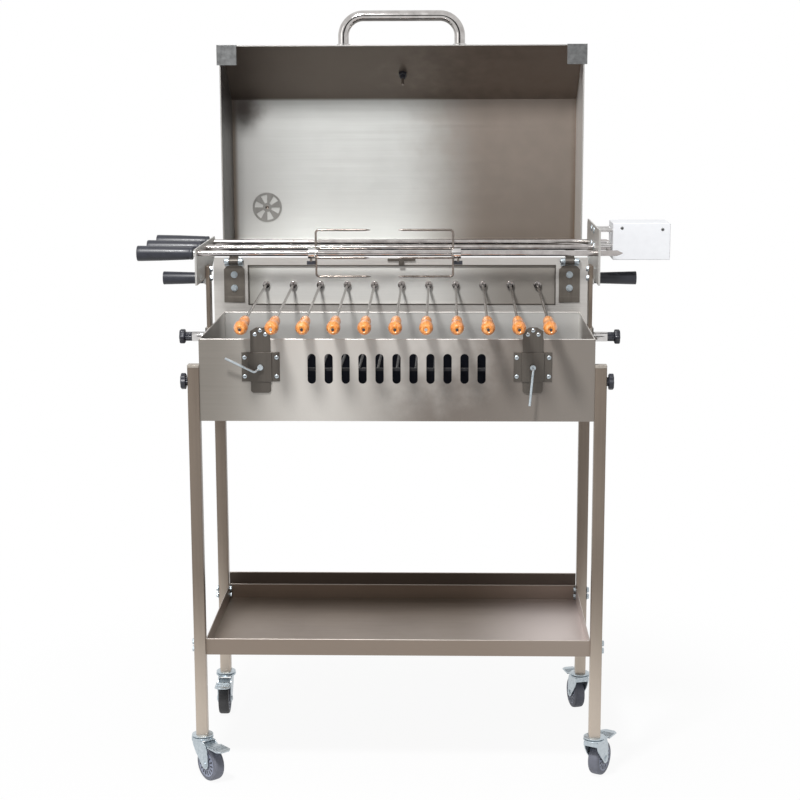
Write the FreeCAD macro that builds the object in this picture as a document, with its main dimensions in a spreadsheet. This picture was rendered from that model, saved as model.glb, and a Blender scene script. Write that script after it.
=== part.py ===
import FreeCAD, Part
import math
import os
import re
from types import SimpleNamespace

import Sketcher
from FreeCAD import Placement, Rotation, Vector

# Charcoal spit roaster: firebox on a wheeled stand, opened hood, three large spits, eleven small skewers.
# Own frame: +X to the motor, +Y to the back, +Z up, origin on the floor under the middle of the whole.
# Inside this file the pieces are placed from the middle of the firebox's front face, at floor level.

# Driving sizes, in millimetres and degrees
SIZES = {
    # stand
    "caster_height": 97, "leg_length": 812, "leg_side": 25, "leg_wall": 1.5, "leg_proud": 5,
    "cap_height": 6, "leg_knob_drop": 30,
    # firebox and its grate
    "box_length": 830, "box_depth": 430, "box_height": 174, "box_floor": 795, "box_sheet": 2,
    "slot_count": 11, "slot_pitch": 35.6, "slot_width": 17.4, "slot_height": 63.6, "slot_rise": 80,
    "grate_rise": 105, "grate_bar": 6, "grate_gap": 12, "grate_pitch": 40,
    # shelf
    "shelf_front": 3.8, "shelf_depth": 419, "shelf_floor": 278, "shelf_rim": 35, "shelf_upstand": 30,
    "shelf_sheet": 1.5,
    # back panel, its window and the hood hinges
    "panel_top": 1097, "panel_margin": 22, "panel_sheet": 2, "panel_skirt": 60, "window_width": 711,
    "window_bottom": 989, "window_height": 89, "hinge_spread": 778, "hinge_plate_width": 48,
    "hinge_plate_height": 86, "hinge_plate_sheet": 3, "barrel_radius": 8, "barrel_length": 42,
    "leaf_width": 21, "leaf_reach": 118, "leaf_bolt_gap": 14, "leaf_bolt_pitch": 22, "pin_radius": 3,
    # hood, sizes as it stands open: its closed back wall lies at the bottom
    "hood_width": 842, "hood_sheet": 2, "hood_back_rise": 27, "hood_reach": 492, "hood_top_reach": 367,
    "hood_rim_back": 65, "hood_height": 215, "lip_band": 32, "corner_side": 46, "corner_proud": 6,
    "corner_sheet": 1.2, "corner_return": 18, "handle_span": 268, "handle_tube": 25, "handle_rise": 66,
    "handle_bend": 46, "flange_radius": 18, "flange_sheet": 3, "vent_radius": 36, "vent_left": 337,
    "vent_up": 105, "vent_knob": 12, "dial_radius": 32, "dial_depth": 14, "probe_length": 32,
    # carriage that carries the large spits
    "carriage_y": 215, "upright_width": 40, "upright_sheet": 8, "upright_gap": 0.5, "upright_reach": 28,
    "upright_length": 210, "plate_sheet": 3, "plate_margin": 25, "plate_drop": 66, "plate_flange": 4,
    "left_plate_rise": 12, "right_plate_rise": 51, "guide_bottom": 922, "guide_height": 44,
    "guide_wall": 3, "sleeve_radius": 11, "sleeve_length": 32, "knob_radius": 17, "knob_thick": 13,
    "lift_grip_length": 93, "lift_grip_radius": 14.5, "lift_grip_drop": 67,
    "motor_gap": 36.5, "motor_length": 123, "motor_depth": 100, "motor_height": 79, "motor_rise": 17,
    "motor_wall": 2,
    # large spits and meat forks
    "spit_radius": 6, "spit_axis": 1141, "spit_front": 85, "spit_pitch": 130, "spit_grip_length": 119,
    "spit_grip_radius": 16.5, "spit_grip_neck": 13, "spit_grip_gap": 6.5, "spit_tail": 38,
    "fork_collar_radius": 11, "fork_collar_length": 20, "fork_radius": 50, "prong_length": 106,
    "prong_radius": 2.2, "fork_left": 189, "fork_right": 135,
    # small skewers and their gearbox, which lean together
    "skewer_count": 11, "skewer_pitch": 63, "skewer_axis": 1034, "lean": 3, "skewer_rod": 3,
    "skewer_grip_start": 436, "skewer_grip_length": 113, "grip_ball": 14, "grip_barrel": 12,
    "grip_waist": 9.5, "grip_end": 9, "socket_radius": 8.5, "socket_proud": 9, "gear_radius": 22,
    "gear_setback": 6, "gearbox_height": 110, "gearbox_depth": 41, "gearbox_sheet": 1.5, "chain_thick": 4,
    # front clamps and slides
    "clamp_spread": 570, "clamp_width": 80, "clamp_height": 62, "clamp_middle": 911, "clamp_sheet": 2,
    "slide_width": 42, "slide_sheet": 3, "slide_top": 995, "slide_length": 139, "slide_peak": 8,
    "lever_radius": 2.4, "lever_arm": 72, "lever_turn_left": 160, "lever_turn_right": 264,
    # casters
    "wheel_radius": 37.5, "wheel_width": 24, "tyre_thick": 10.5, "tyre_round": 3, "trail": 30,
    "cheek_sheet": 2.5, "axle_radius": 4, "kingpin_radius": 5, "pedal_reach": 88, "pedal_width": 36,
    "swivel_front_left": -49, "swivel_front_right": 61, "swivel_rear_left": -90, "swivel_rear_right": 104,
    # fits and fasteners
    "clearance": 0.3, "running_fit": 0.08, "bolt_radius": 3, "bolt_head": 6.5, "head_height": 4,
    "screw_head": 4.4, "spacer_head": 1.8, "screw_height": 2.2,
}

doc = FreeCAD.newDocument("SpitRoaster")
sheet = doc.addObject("Spreadsheet::Sheet", "Sizes")
for row, (alias, value) in enumerate(SIZES.items(), 1):
    sheet.set(f"A{row}", alias)
    sheet.set(f"B{row}", str(value))
    sheet.setAlias(f"B{row}", alias)
doc.recompute()
size = SimpleNamespace(**{alias: float(sheet.get(alias)) for alias in SIZES})
ALIASES = re.compile(r"\b(" + "|".join(sorted(SIZES, key=len, reverse=True)) + r")\b")
nodes = []
counter = iter(range(1, 100000))

# Places that several pieces share, as formulas on the sheet
HALF_BOX = "(box_length / 2)"
BOX_TOP = "(box_floor + box_height)"
LEG_TOP = "(caster_height + leg_length)"
PANEL_BACK = "(box_depth + panel_sheet)"
HINGE_Y = "(box_depth - clearance - barrel_radius)"
HINGE_Z = "(panel_top - barrel_radius)"
RIM_Y = f"({HINGE_Y} + hood_rim_back)"
HOOD_BACK_Y = f"({RIM_Y} + hood_height)"
HOOD_LOW_Z = f"({HINGE_Z} + hood_back_rise)"
LIP_Z = f"({HINGE_Z} + hood_reach)"
HOOD_BEND_Z = f"({HINGE_Z} + hood_top_reach)"
PLATE_X = f"({HALF_BOX} + upright_gap + upright_sheet)"
PLATE_OUT = f"({PLATE_X} + plate_sheet)"
UPRIGHT_Y = "(carriage_y - upright_width / 2)"
GRIP_Z = "(spit_axis - lift_grip_drop)"
SPIT_END = f"({PLATE_X} + plate_flange + spit_grip_gap + spit_grip_length)"
MOTOR_X = f"({PLATE_OUT} + motor_gap)"
MOTOR_END = f"({MOTOR_X} + motor_length)"
PIVOT_Y = f"({PANEL_BACK} + 4)"
SKEWER_REACH = "(skewer_grip_start + skewer_grip_length)"
FRONT_REACH = f"({SKEWER_REACH} * cos(lean) + grip_end * sin(lean) - {PIVOT_Y})"
REAR_REACH = f"({HOOD_BACK_Y} + vent_knob)"
MIDDLE_X = f"(({MOTOR_END} - {SPIT_END}) / 2)"
MIDDLE_Y = f"(({REAR_REACH} - {FRONT_REACH}) / 2)"


def bind(obj, prop, formula):
    obj.setExpression(prop, ALIASES.sub(r"Sizes.\1", str(formula)))


def fresh(kind, name):
    return doc.addObject(kind, f"{name}_{next(counter)}")


def put(obj, at):
    for letter, formula in zip("xyz", at):
        bind(obj, f"Placement.Base.{letter}", formula)
    return obj


def box(name, extent, at):
    obj = fresh("Part::Box", name)
    for prop, formula in zip(("Length", "Width", "Height"), extent):
        bind(obj, prop, formula)
    return put(obj, at)


def side_box(name, side, extent, inner, y, z):
    """A box whose face nearest the middle plane lies at the distance inner, on the chosen side."""
    x = inner if side > 0 else f"-({inner}) - ({extent[0]})"
    return box(name, extent, (x, y, z))


TURNS = {
    "x": Rotation(Vector(0, 1, 0), 90), "-x": Rotation(Vector(0, 1, 0), -90),
    "y": Rotation(Vector(1, 0, 0), -90), "-y": Rotation(Vector(1, 0, 0), 90),
    "z": Rotation(), "-z": Rotation(Vector(1, 0, 0), 180),
}


def rod(name, radius, length, at, axis="z"):
    obj = fresh("Part::Cylinder", name)
    obj.Placement = Placement(Vector(), TURNS[axis])
    bind(obj, "Radius", radius)
    bind(obj, "Height", length)
    return put(obj, at)


def cone(name, radius_start, radius_end, length, at, axis="z"):
    obj = fresh("Part::Cone", name)
    obj.Placement = Placement(Vector(), TURNS[axis])
    bind(obj, "Radius1", radius_start)
    bind(obj, "Radius2", radius_end)
    bind(obj, "Height", length)
    return put(obj, at)


def hexagon(name, circumradius, length, at, axis="z"):
    obj = fresh("Part::Prism", name)
    obj.Polygon = 6
    obj.Placement = Placement(Vector(), TURNS[axis])
    bind(obj, "Circumradius", circumradius)
    bind(obj, "Height", length)
    return put(obj, at)


def group(name, parts):
    obj = fresh("Part::Compound", name)
    obj.Links = parts
    return obj


def fuse(name, parts):
    obj = fresh("Part::MultiFuse", name)
    obj.Shapes = parts
    return obj


def cut(name, base, tools):
    obj = fresh("Part::Cut", name)
    obj.Base = base
    obj.Tool = tools[0] if len(tools) == 1 else fuse(name + "_tools", tools)
    return obj


def turned(name, part, axis, angle, at=("0", "0", "0")):
    """The part turned about the origin by an angle from the sheet, then moved."""
    obj = group(name, [part])
    obj.Placement = Placement(Vector(), Rotation(axis, 10))
    bind(obj, "Placement.Rotation.Angle", angle)
    return put(obj, at)


def plane_of(body, role):
    return next(feature for feature in body.Origin.OriginFeatures if feature.Role == role)


def new_sketch(body, name, role):
    sketch = body.newObject("Sketcher::SketchObject", f"{name}_{next(counter)}")
    sketch.AttachmentSupport = [(plane_of(body, role), "")]
    sketch.MapMode = "FlatFace"
    return sketch


def pin_point(sketch, index, end, formulas):
    for kind, formula in zip(("DistanceX", "DistanceY"), formulas):
        number = sketch.addConstraint(Sketcher.Constraint(kind, -1, 1, index, end, 1.0))
        bind(sketch, f"Constraints[{number}]", formula)


def add_loop(sketch, points):
    """A closed outline of straight lines through points given as pairs of formulas."""
    first = sketch.GeometryCount
    count = len(points)
    start = [Vector(40 * math.cos(math.tau * k / count), 40 * math.sin(math.tau * k / count), 0)
             for k in range(count)]
    for k in range(count):
        sketch.addGeometry(Part.LineSegment(start[k], start[(k + 1) % count]), False)
    for k in range(count):
        joint = Sketcher.Constraint("Coincident", first + k, 2, first + (k + 1) % count, 1)
        sketch.addConstraint(joint)
    for k, formulas in enumerate(points):
        pin_point(sketch, first + k, 1, formulas)


def add_circle(sketch, centre, radius):
    index = sketch.addGeometry(Part.Circle(Vector(1, 1, 0), Vector(0, 0, 1), 1), False)
    number = sketch.addConstraint(Sketcher.Constraint("Radius", index, 1.0))
    bind(sketch, f"Constraints[{number}]", radius)
    pin_point(sketch, index, 3, centre)


def plate(name, role, outline, thickness, at=("0", "0", "0"), holes=(), windows=(), midplane=False):
    """A body padded from one sketch: an outline with round holes and windows."""
    body = fresh("PartDesign::Body", name)
    sketch = new_sketch(body, name + "_sketch", role)
    add_loop(sketch, outline)
    for window in windows:
        add_loop(sketch, window)
    for centre, radius in holes:
        add_circle(sketch, centre, radius)
    doc.recompute()
    pad = body.newObject("PartDesign::Pad", f"{name}_pad_{next(counter)}")
    pad.Profile = sketch
    pad.Midplane = midplane
    bind(pad, "Length", thickness)
    sketch.Visibility = False
    return put(body, at)


def rectangle(x_low, x_high, y_low, y_high):
    return [(x_low, y_low), (x_high, y_low), (x_high, y_high), (x_low, y_high)]


def pipe(name, radius, points, bends):
    """A round bar along straight runs joined by arcs, given its corner points and bend radii."""
    points = [Vector(*point) for point in points]
    edges = []
    start = points[0]
    for before, corner, after, bend in zip(points, points[1:], points[2:], bends):
        to_before = (before - corner).normalize()
        to_after = (after - corner).normalize()
        half = to_before.getAngle(to_after) / 2
        setback = bend / math.tan(half)
        enter = corner + to_before * setback
        leave = corner + to_after * setback
        middle = (to_before + to_after).normalize()
        top = corner + middle * (bend / math.sin(half) - bend)
        edges.append(Part.LineSegment(start, enter).toShape())
        edges.append(Part.Arc(enter, top, leave).toShape())
        start = leave
    edges.append(Part.LineSegment(start, points[-1]).toShape())
    path = Part.Wire(edges)
    direction = (points[1] - points[0]).normalize()
    ring = Part.Wire([Part.Circle(points[0], direction, radius).toShape()])
    return path.makePipeShell([ring], True, False)


def solid_feature(name, shape):
    obj = fresh("Part::Feature", name)
    obj.Shape = shape
    return obj


def node(label, parts, at=("0", "0", "0"), axis=None, angle=None):
    """One named sub-part: its solids moved from the grill's front middle to the part's own origin."""
    obj = doc.addObject("Part::Compound", label)
    obj.Links = parts
    obj.Label = label
    if angle is not None:
        obj.Placement = Placement(Vector(), Rotation(axis, 10))
        bind(obj, "Placement.Rotation.Angle", angle)
    put(obj, (f"{at[0]} - {MIDDLE_X}", f"{at[1]} - {MIDDLE_Y}", at[2]))
    nodes.append(obj)


def bolt(name, at, axis, grip, nut=True):
    """A hex bolt whose head stands against the axis at the given point; the nut sits past the grip."""
    back = axis[1:] if axis.startswith("-") else "-" + axis
    parts = [hexagon(name, "bolt_head", "head_height", at, back),
             rod(name, "bolt_radius", f"{grip} + head_height", at, axis)]
    result = [fuse(name, parts)]
    if nut:
        step = {"x": 0, "y": 1, "z": 2}[axis[-1]]
        far = list(at)
        far[step] = f"{at[step]} {'-' if axis.startswith('-') else '+'} ({grip})"
        blank = hexagon(name + "_nut", "bolt_head", "head_height", tuple(far), axis)
        result.append(cut(name + "_nut", blank, [rod(name, "bolt_radius", "head_height", tuple(far), axis)]))
    return result


def slotted_screw(name, at):
    """A slotted screw head standing on a face that looks to the front."""
    head = rod(name, "screw_head", "screw_height", at, "-y")
    groove = box(name, ("2 * screw_head", "1", "1.2"),
                 (f"{at[0]} - screw_head", f"{at[1]} - screw_height", f"{at[2]} - 0.6"))
    return cut(name, head, [groove])


def star(name, at, axis, stud):
    """A six-lobed clamp knob: head, hub and threaded stud; the hub's foot stands at the point."""
    parts = [rod(name, "knob_radius * 0.5", "knob_thick", at, axis)]
    step = {"x": 0, "y": 1, "z": 2}[axis[-1]]
    sign = "-" if axis.startswith("-") else "+"
    head_at = list(at)
    head_at[step] = f"{at[step]} {sign} knob_thick * 0.45"
    parts.append(rod(name, "knob_radius * 0.75", "knob_thick", tuple(head_at), axis))
    for k in range(6):
        turn = math.tau * k / 6
        lobe_at = list(head_at)
        others = [n for n in range(3) if n != step]
        lobe_at[others[0]] = f"{head_at[others[0]]} + knob_radius * {0.72 * math.cos(turn):.4f}"
        lobe_at[others[1]] = f"{head_at[others[1]]} + knob_radius * {0.72 * math.sin(turn):.4f}"
        parts.append(rod(name, "knob_radius * 0.28", "knob_thick", tuple(lobe_at), axis))
    back = axis[1:] if axis.startswith("-") else "-" + axis
    parts.append(rod(name, "bolt_radius", stud, at, back))
    return fuse(name, parts)


SIDES = (("left", -1), ("right", 1))
LEG_ROWS = (("front", "-leg_proud"), ("rear", "box_depth + leg_proud - leg_side"))
SHELF_BOLT_Y = {"front": "(shelf_front + shelf_sheet + bolt_head + 0.2)",
                "rear": "(shelf_front + shelf_depth - shelf_sheet - bolt_head - 0.2)"}
FIREBOX_KNOB_Z = f"({LEG_TOP} - leg_knob_drop)"


def leg_parts():
    legs, caps = [], []
    for row, y in LEG_ROWS:
        for name, side in SIDES:
            outer = side_box("leg", side, ("leg_side", "leg_side", "leg_length"), HALF_BOX, y,
                             "caster_height")
            hollow = side_box("leg_bore", side, ("leg_side - 2 * leg_wall",) * 2 + ("leg_length",),
                              f"{HALF_BOX} + leg_wall", f"{y} + leg_wall", "caster_height")
            start = f"{side} * {HALF_BOX} - 1.5 * leg_side"
            holes = [rod("bore", "bolt_radius", "3 * leg_side", (start, SHELF_BOLT_Y[row], z), "x")
                     for z in shelf_bolt_heights()]
            holes.append(rod("bore", "bolt_radius", "3 * leg_side",
                             (start, f"{y} + leg_side / 2", FIREBOX_KNOB_Z), "x"))
            legs.append(cut(f"leg_{row}_{name}", outer, [hollow] + holes))
            lid = side_box("cap", side, ("leg_side", "leg_side", "cap_height"), HALF_BOX, y, LEG_TOP)
            plug = side_box("cap_plug", side, ("leg_side - 2 * leg_wall",) * 2 + ("12",),
                            f"{HALF_BOX} + leg_wall", f"{y} + leg_wall", f"{LEG_TOP} - 12")
            caps.append(fuse(f"cap_{row}_{name}", [lid, plug]))
    node("legs", legs)
    node("leg_caps", caps)


def shelf_bolt_heights():
    return ["shelf_floor + shelf_rim * 0.32", "shelf_floor + shelf_rim * 0.78"]


def leg_knobs():
    """Clamp knobs that hold the front legs on the firebox ends, with their studs through leg and wall."""
    knobs = []
    for name, side in SIDES:
        at = (f"{side} * ({HALF_BOX} + leg_side)", f"{LEG_ROWS[0][1]} + leg_side / 2", FIREBOX_KNOB_Z)
        knobs.append(star("leg_knob", at, "x" if side > 0 else "-x", "leg_side + box_sheet + 6"))
    node("leg_knobs", knobs)


def shelf():
    """A tray between the legs with a taller upstand along its back."""
    x = f"-{HALF_BOX}"
    outer = box("tray", ("box_length", "shelf_depth", "shelf_rim"), (x, "shelf_front", "shelf_floor"))
    inner = box("tray_room", ("box_length - 2 * shelf_sheet", "shelf_depth - 2 * shelf_sheet", "shelf_rim"),
                (f"{x} + shelf_sheet", "shelf_front + shelf_sheet", "shelf_floor + shelf_sheet"))
    holes = [rod("bore", "bolt_radius", "2 * box_length", ("-box_length", SHELF_BOLT_Y[row], z), "x")
             for row, y in LEG_ROWS for z in shelf_bolt_heights()]
    upstand = box("upstand", ("box_length - 2 * shelf_sheet", "shelf_sheet", "shelf_upstand"),
                  (f"{x} + shelf_sheet", "shelf_front + shelf_depth - shelf_sheet",
                   "shelf_floor + shelf_rim"))
    tray = fuse("tray", [cut("tray", outer, [inner]), upstand])
    node("shelf", [cut("shelf_body", tray, holes)])


def firebox():
    """The folded charcoal box with its row of upright air slots."""
    body = fresh("PartDesign::Body", "firebox_body")
    plan = new_sketch(body, "firebox_plan", "XY_Plane")
    add_loop(plan, rectangle(f"-{HALF_BOX}", HALF_BOX, "0", "box_depth"))
    doc.recompute()
    block = body.newObject("PartDesign::Pad", "firebox_block")
    block.Profile = plan
    bind(block, "Length", "box_height")
    doc.recompute()
    room = new_sketch(body, "firebox_room", "XY_Plane")
    add_loop(room, rectangle(f"-{HALF_BOX} + box_sheet", f"{HALF_BOX} - box_sheet",
                             "box_sheet", "box_depth - box_sheet"))
    bind(room, "AttachmentOffset.Base.z", "box_sheet")
    doc.recompute()
    hollow = body.newObject("PartDesign::Pocket", "firebox_hollow")
    hollow.Profile = room
    hollow.Reversed = True
    bind(hollow, "Length", "box_height")
    doc.recompute()
    slot = new_sketch(body, "slot_outline", "XZ_Plane")
    first = "-(slot_count - 1) / 2 * slot_pitch"
    half = "slot_width / 2"
    low, high = "slot_rise + slot_width / 2", "slot_rise + slot_height - slot_width / 2"
    add_loop(slot, rectangle(f"{first} - {half}", f"{first} + {half}", low, high))
    doc.recompute()
    opening = body.newObject("PartDesign::Pocket", "slot_opening")
    opening.Profile = slot
    bind(opening, "Length", "box_sheet")
    doc.recompute()
    ends = new_sketch(body, "slot_ends", "XZ_Plane")
    add_circle(ends, (first, low), half)
    doc.recompute()
    low_end = body.newObject("PartDesign::Pocket", "slot_low_end")
    low_end.Profile = ends
    bind(low_end, "Length", "box_sheet")
    doc.recompute()
    tops = new_sketch(body, "slot_tops", "XZ_Plane")
    add_circle(tops, (first, high), half)
    doc.recompute()
    high_end = body.newObject("PartDesign::Pocket", "slot_high_end")
    high_end.Profile = tops
    bind(high_end, "Length", "box_sheet")
    doc.recompute()
    row = body.newObject("PartDesign::LinearPattern", "slot_row")
    row.Originals = [opening, low_end, high_end]
    row.Direction = (plane_of(body, "X_Axis"), [""])
    bind(row, "Length", "(slot_count - 1) * slot_pitch")
    row.Occurrences = int(size.slot_count)
    body.Tip = row
    put(body, ("0", "0", "box_floor"))
    doc.recompute()
    walls = size.box_height * (size.box_length * size.box_depth) - (size.box_height - size.box_sheet) * (
        size.box_length - 2 * size.box_sheet) * (size.box_depth - 2 * size.box_sheet)
    if not 0.9 * walls < body.Shape.Volume < 0.999 * walls:
        raise RuntimeError(f"the firebox's pockets cut the wrong amount {body.Shape.Volume} {walls}")
    holes = [rod("stud_hole", "bolt_radius", "2 * box_length",
                 ("-box_length", f"{y} + leg_side / 2", FIREBOX_KNOB_Z), "x") for name, y in LEG_ROWS]
    node("firebox", [cut("firebox", body, holes)])


def charcoal_grate():
    """A frame of square bar with round bars across it, hung just behind the front wall."""
    width = "(box_length - 2 * box_sheet - 2 * grate_gap)"
    depth = "(box_depth - 2 * box_sheet - 2 * grate_gap)"
    x, y, z = f"-{width} / 2", "box_sheet + grate_gap", "box_floor + grate_rise"
    bars = [box("rail", (width, "grate_bar", "grate_bar"), (x, y, z)),
            box("rail", (width, "grate_bar", "grate_bar"), (x, f"{y} + {depth} - grate_bar", z)),
            box("end", ("grate_bar", f"{depth} - 2 * grate_bar", "grate_bar"), (x, f"{y} + grate_bar", z)),
            box("end", ("grate_bar", f"{depth} - 2 * grate_bar", "grate_bar"),
                (f"{width} / 2 - grate_bar", f"{y} + grate_bar", z))]
    half_count = int((size.box_length / 2 - size.grate_gap - size.grate_bar * 3) // size.grate_pitch)
    for k in range(-half_count, half_count + 1):
        bars.append(rod("bar", "grate_bar / 2", f"{depth} - 2 * grate_bar",
                        (f"{k} * grate_pitch", f"{y} + grate_bar", f"{z} + grate_bar / 2"), "y"))
    node("charcoal_grate", bars)


def hinge_bolt_places():
    return [(side, f"{HINGE_Z} - 10 - hinge_plate_height * {share}") for name, side in SIDES
            for share in (0.25, 0.61)]


def back_panel():
    """Sheet behind the firebox: narrow between the rear legs, wide above them, with the window."""
    low = f"({BOX_TOP} - panel_skirt)"
    step = f"({LEG_TOP} + cap_height + 2)"
    wide, narrow = f"({HALF_BOX} + panel_margin)", f"({HALF_BOX} - 1)"
    outline = [(f"-{narrow}", low), (narrow, low), (narrow, step), (wide, step), (wide, "panel_top"),
               (f"-{wide}", "panel_top"), (f"-{wide}", step), (f"-{narrow}", step)]
    window = rectangle("-window_width / 2", "window_width / 2", "window_bottom",
                       "window_bottom + window_height")
    holes = [((f"{side} * hinge_spread / 2", z), "bolt_radius") for side, z in hinge_bolt_places()]
    panel = plate("back_panel", "XZ_Plane", outline, "panel_sheet", ("0", PANEL_BACK, "0"), holes, [window])
    node("back_panel", [panel])


def hinge_plates():
    """Fixed half of both hood hinges: bolted plate, two knuckles and the pin."""
    parts = []
    for name, side in SIDES:
        middle = f"{side} * hinge_spread / 2"
        left, right = f"{middle} - hinge_plate_width / 2", f"{middle} + hinge_plate_width / 2"
        top, low = f"{HINGE_Z} - 10", f"{HINGE_Z} - 10 - hinge_plate_height"
        outline = [(left, low), (right, low), (right, f"{top} - 9"), (f"{right} - 9", top),
                   (f"{left} + 9", top), (left, f"{top} - 9")]
        holes = [((middle, z), "bolt_radius") for other, z in hinge_bolt_places() if other == side]
        sheet_part = plate("hinge_plate", "XZ_Plane", outline, "hinge_plate_sheet",
                           ("0", "box_depth", "0"), holes)
        knuckle = "((barrel_length - leaf_width) / 2 - clearance)"
        solids = [sheet_part]
        for start in (f"{middle} - barrel_length / 2", f"{middle} + leaf_width / 2 + clearance"):
            solids.append(rod("knuckle", "barrel_radius", knuckle, (start, HINGE_Y, HINGE_Z), "x"))
            solids.append(box("ear", (knuckle, "hinge_plate_sheet", "10"),
                              (start, "box_depth - hinge_plate_sheet", top)))
        bore = rod("pin_bore", "pin_radius", "barrel_length", (f"{middle} - barrel_length / 2", HINGE_Y,
                                                              HINGE_Z), "x")
        parts.append(cut("hinge_half", fuse("hinge_half", solids), [bore]))
        parts.append(rod("pin", "pin_radius", "barrel_length + 4",
                         (f"{middle} - barrel_length / 2 - 2", HINGE_Y, HINGE_Z), "x"))
    node("hinge_plates", parts)


def leaf_bolt_places():
    first = f"{RIM_Y} + leaf_bolt_gap"
    return [first, f"{first} + leaf_bolt_pitch"]


def hood_hinge_leaves():
    """Moving half of the hinges: knuckle and bent leaf bolted under the hood's back wall."""
    parts = []
    for name, side in SIDES:
        middle = f"{side} * hinge_spread / 2"
        x = f"{middle} - leaf_width / 2"
        riser_z = f"{HOOD_LOW_Z} - hinge_plate_sheet"
        back = f"{HINGE_Y} + barrel_radius"
        solids = [rod("knuckle", "barrel_radius", "leaf_width", (x, HINGE_Y, HINGE_Z), "x"),
                  box("riser", ("leaf_width", "hinge_plate_sheet", f"{HOOD_LOW_Z} - {HINGE_Z}"),
                      (x, f"{back} - hinge_plate_sheet", HINGE_Z)),
                  box("leaf", ("leaf_width", "leaf_reach", "hinge_plate_sheet"),
                      (x, f"{back} - hinge_plate_sheet", riser_z))]
        bore = rod("pin_bore", "pin_radius + running_fit", "leaf_width", (x, HINGE_Y, HINGE_Z), "x")
        holes = [rod("bolt_hole", "bolt_radius", "3 * hinge_plate_sheet", (middle, y, riser_z), "z")
                 for y in leaf_bolt_places()]
        parts.append(cut("hinge_leaf", fuse("hinge_leaf", solids), [bore] + holes))
        for y in leaf_bolt_places():
            parts += bolt("leaf_bolt", (middle, y, riser_z), "z", "hinge_plate_sheet + hood_sheet")
    node("hood_hinge_leaves", parts)


VENT_X = "(-vent_left)"
VENT_Z = f"({HOOD_LOW_Z} + vent_up - hood_back_rise)"
SLOPE_RUN = "(hood_height - lip_band)"
SLOPE_FALL = "(hood_reach - hood_top_reach)"
SLOPE_TILT = f"(-atan2({SLOPE_FALL}; {SLOPE_RUN}))"


def vent_sectors(name, y, thickness, turn=0):
    """Six open sectors round the vent's pivot, turned by some degrees."""
    sectors = []
    for k in range(6):
        wedge = fresh("Part::Cylinder", name)
        wedge.Angle = 30
        wedge.Placement = Placement(Vector(), Rotation(Vector(0, 1, 0), 60 * k + turn) * TURNS["-y"])
        bind(wedge, "Radius", "vent_radius * 0.86")
        bind(wedge, "Height", thickness)
        sectors.append(put(wedge, (VENT_X, y, VENT_Z)))
    middle = rod(name, "vent_radius * 0.3", thickness, (VENT_X, y, VENT_Z), "-y")
    return cut(name, fuse(name, sectors), [middle])


def hood_shell():
    """The hood, standing open: one sheet folded over two flat sides; its closed top is the upright wall."""
    outline = [(RIM_Y, HOOD_LOW_Z), (HOOD_BACK_Y, HOOD_LOW_Z), (HOOD_BACK_Y, HOOD_BEND_Z),
               (f"{RIM_Y} + lip_band", LIP_Z), (RIM_Y, LIP_Z)]
    body = plate("hood_body", "YZ_Plane", outline, "hood_width", midplane=True)
    doc.recompute()
    pad = body.Tip
    rim = min(range(len(pad.Shape.Faces)), key=lambda k: pad.Shape.Faces[k].CenterOfMass.y)
    shell = body.newObject("PartDesign::Thickness", "hood_walls")
    shell.Base = (pad, [f"Face{rim + 1}"])
    shell.Join = 1
    shell.Reversed = True
    bind(shell, "Value", "hood_sheet")
    doc.recompute()
    vent = vent_sectors("vent_opening", f"{HOOD_BACK_Y} + hood_sheet", "3 * hood_sheet")
    pivot = rod("vent_pivot_hole", "bolt_radius + running_fit", "4 * hood_sheet",
                (VENT_X, f"{HOOD_BACK_Y} - 2 * hood_sheet", VENT_Z), "y")
    stem = rod("probe_hole", "4.2", "40", ("0", "0", "-20"), "z")
    probe = turned("probe_hole", stem, Vector(1, 0, 0), SLOPE_TILT, probe_place())
    bolts = [rod("leaf_bolt_hole", "bolt_radius", "3 * hood_sheet",
                 (f"{side} * hinge_spread / 2", y, f"{HOOD_LOW_Z} - hood_sheet"), "z")
             for name, side in SIDES for y in leaf_bolt_places()]
    rooms = [side_box("side_room", side, ("hood_sheet", f"{HOOD_BACK_Y} - {RIM_Y} + 2",
                                          f"{LIP_Z} - {HOOD_LOW_Z} + 2"),
                      "(hood_width / 2 - hood_sheet)", f"{RIM_Y} - 1", f"{HOOD_LOW_Z} - 1")
             for name, side in SIDES]
    node("hood_shell", [cut("hood_shell", body, [vent, pivot, probe] + bolts + rooms)])
    places = [(f"{side} * (hood_width - hood_sheet) / 2 - hood_sheet / 2", "0", "0") for name, side in SIDES]
    node("hood_sides", [plate("hood_side", "YZ_Plane", outline, "hood_sheet", at) for at in places])


def probe_place():
    """Where the thermometer's stem crosses the outer face of the sloping panel."""
    return ("0", f"{RIM_Y} + lip_band + {SLOPE_RUN} * 0.5", f"{LIP_Z} - {SLOPE_FALL} * 0.5")


def thermometer():
    """Dial outside the hood, nut and stem inside; its axis is square to the sloping panel."""
    dial = rod("dial", "dial_radius", "dial_depth", ("0", "0", "2"), "z")
    neck = rod("neck", "4", "2 + hood_sheet", ("0", "0", "-hood_sheet"), "z")
    stem = rod("stem", "2.2", "probe_length", ("0", "0", "-probe_length - hood_sheet"), "z")
    nut = cut("nut", hexagon("nut", "9", "7", ("0", "0", "-hood_sheet - 7"), "z"),
              [rod("nut_bore", "2.2", "7", ("0", "0", "-hood_sheet - 7"), "z")])
    washer = cut("washer", rod("washer", "9", "2", ("0", "0", "0"), "z"),
                 [rod("washer_bore", "4", "2", ("0", "0", "0"), "z")])
    node("thermometer", [fuse("gauge", [dial, neck, stem]), nut, washer],
         probe_place(), Vector(1, 0, 0), SLOPE_TILT)


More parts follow.
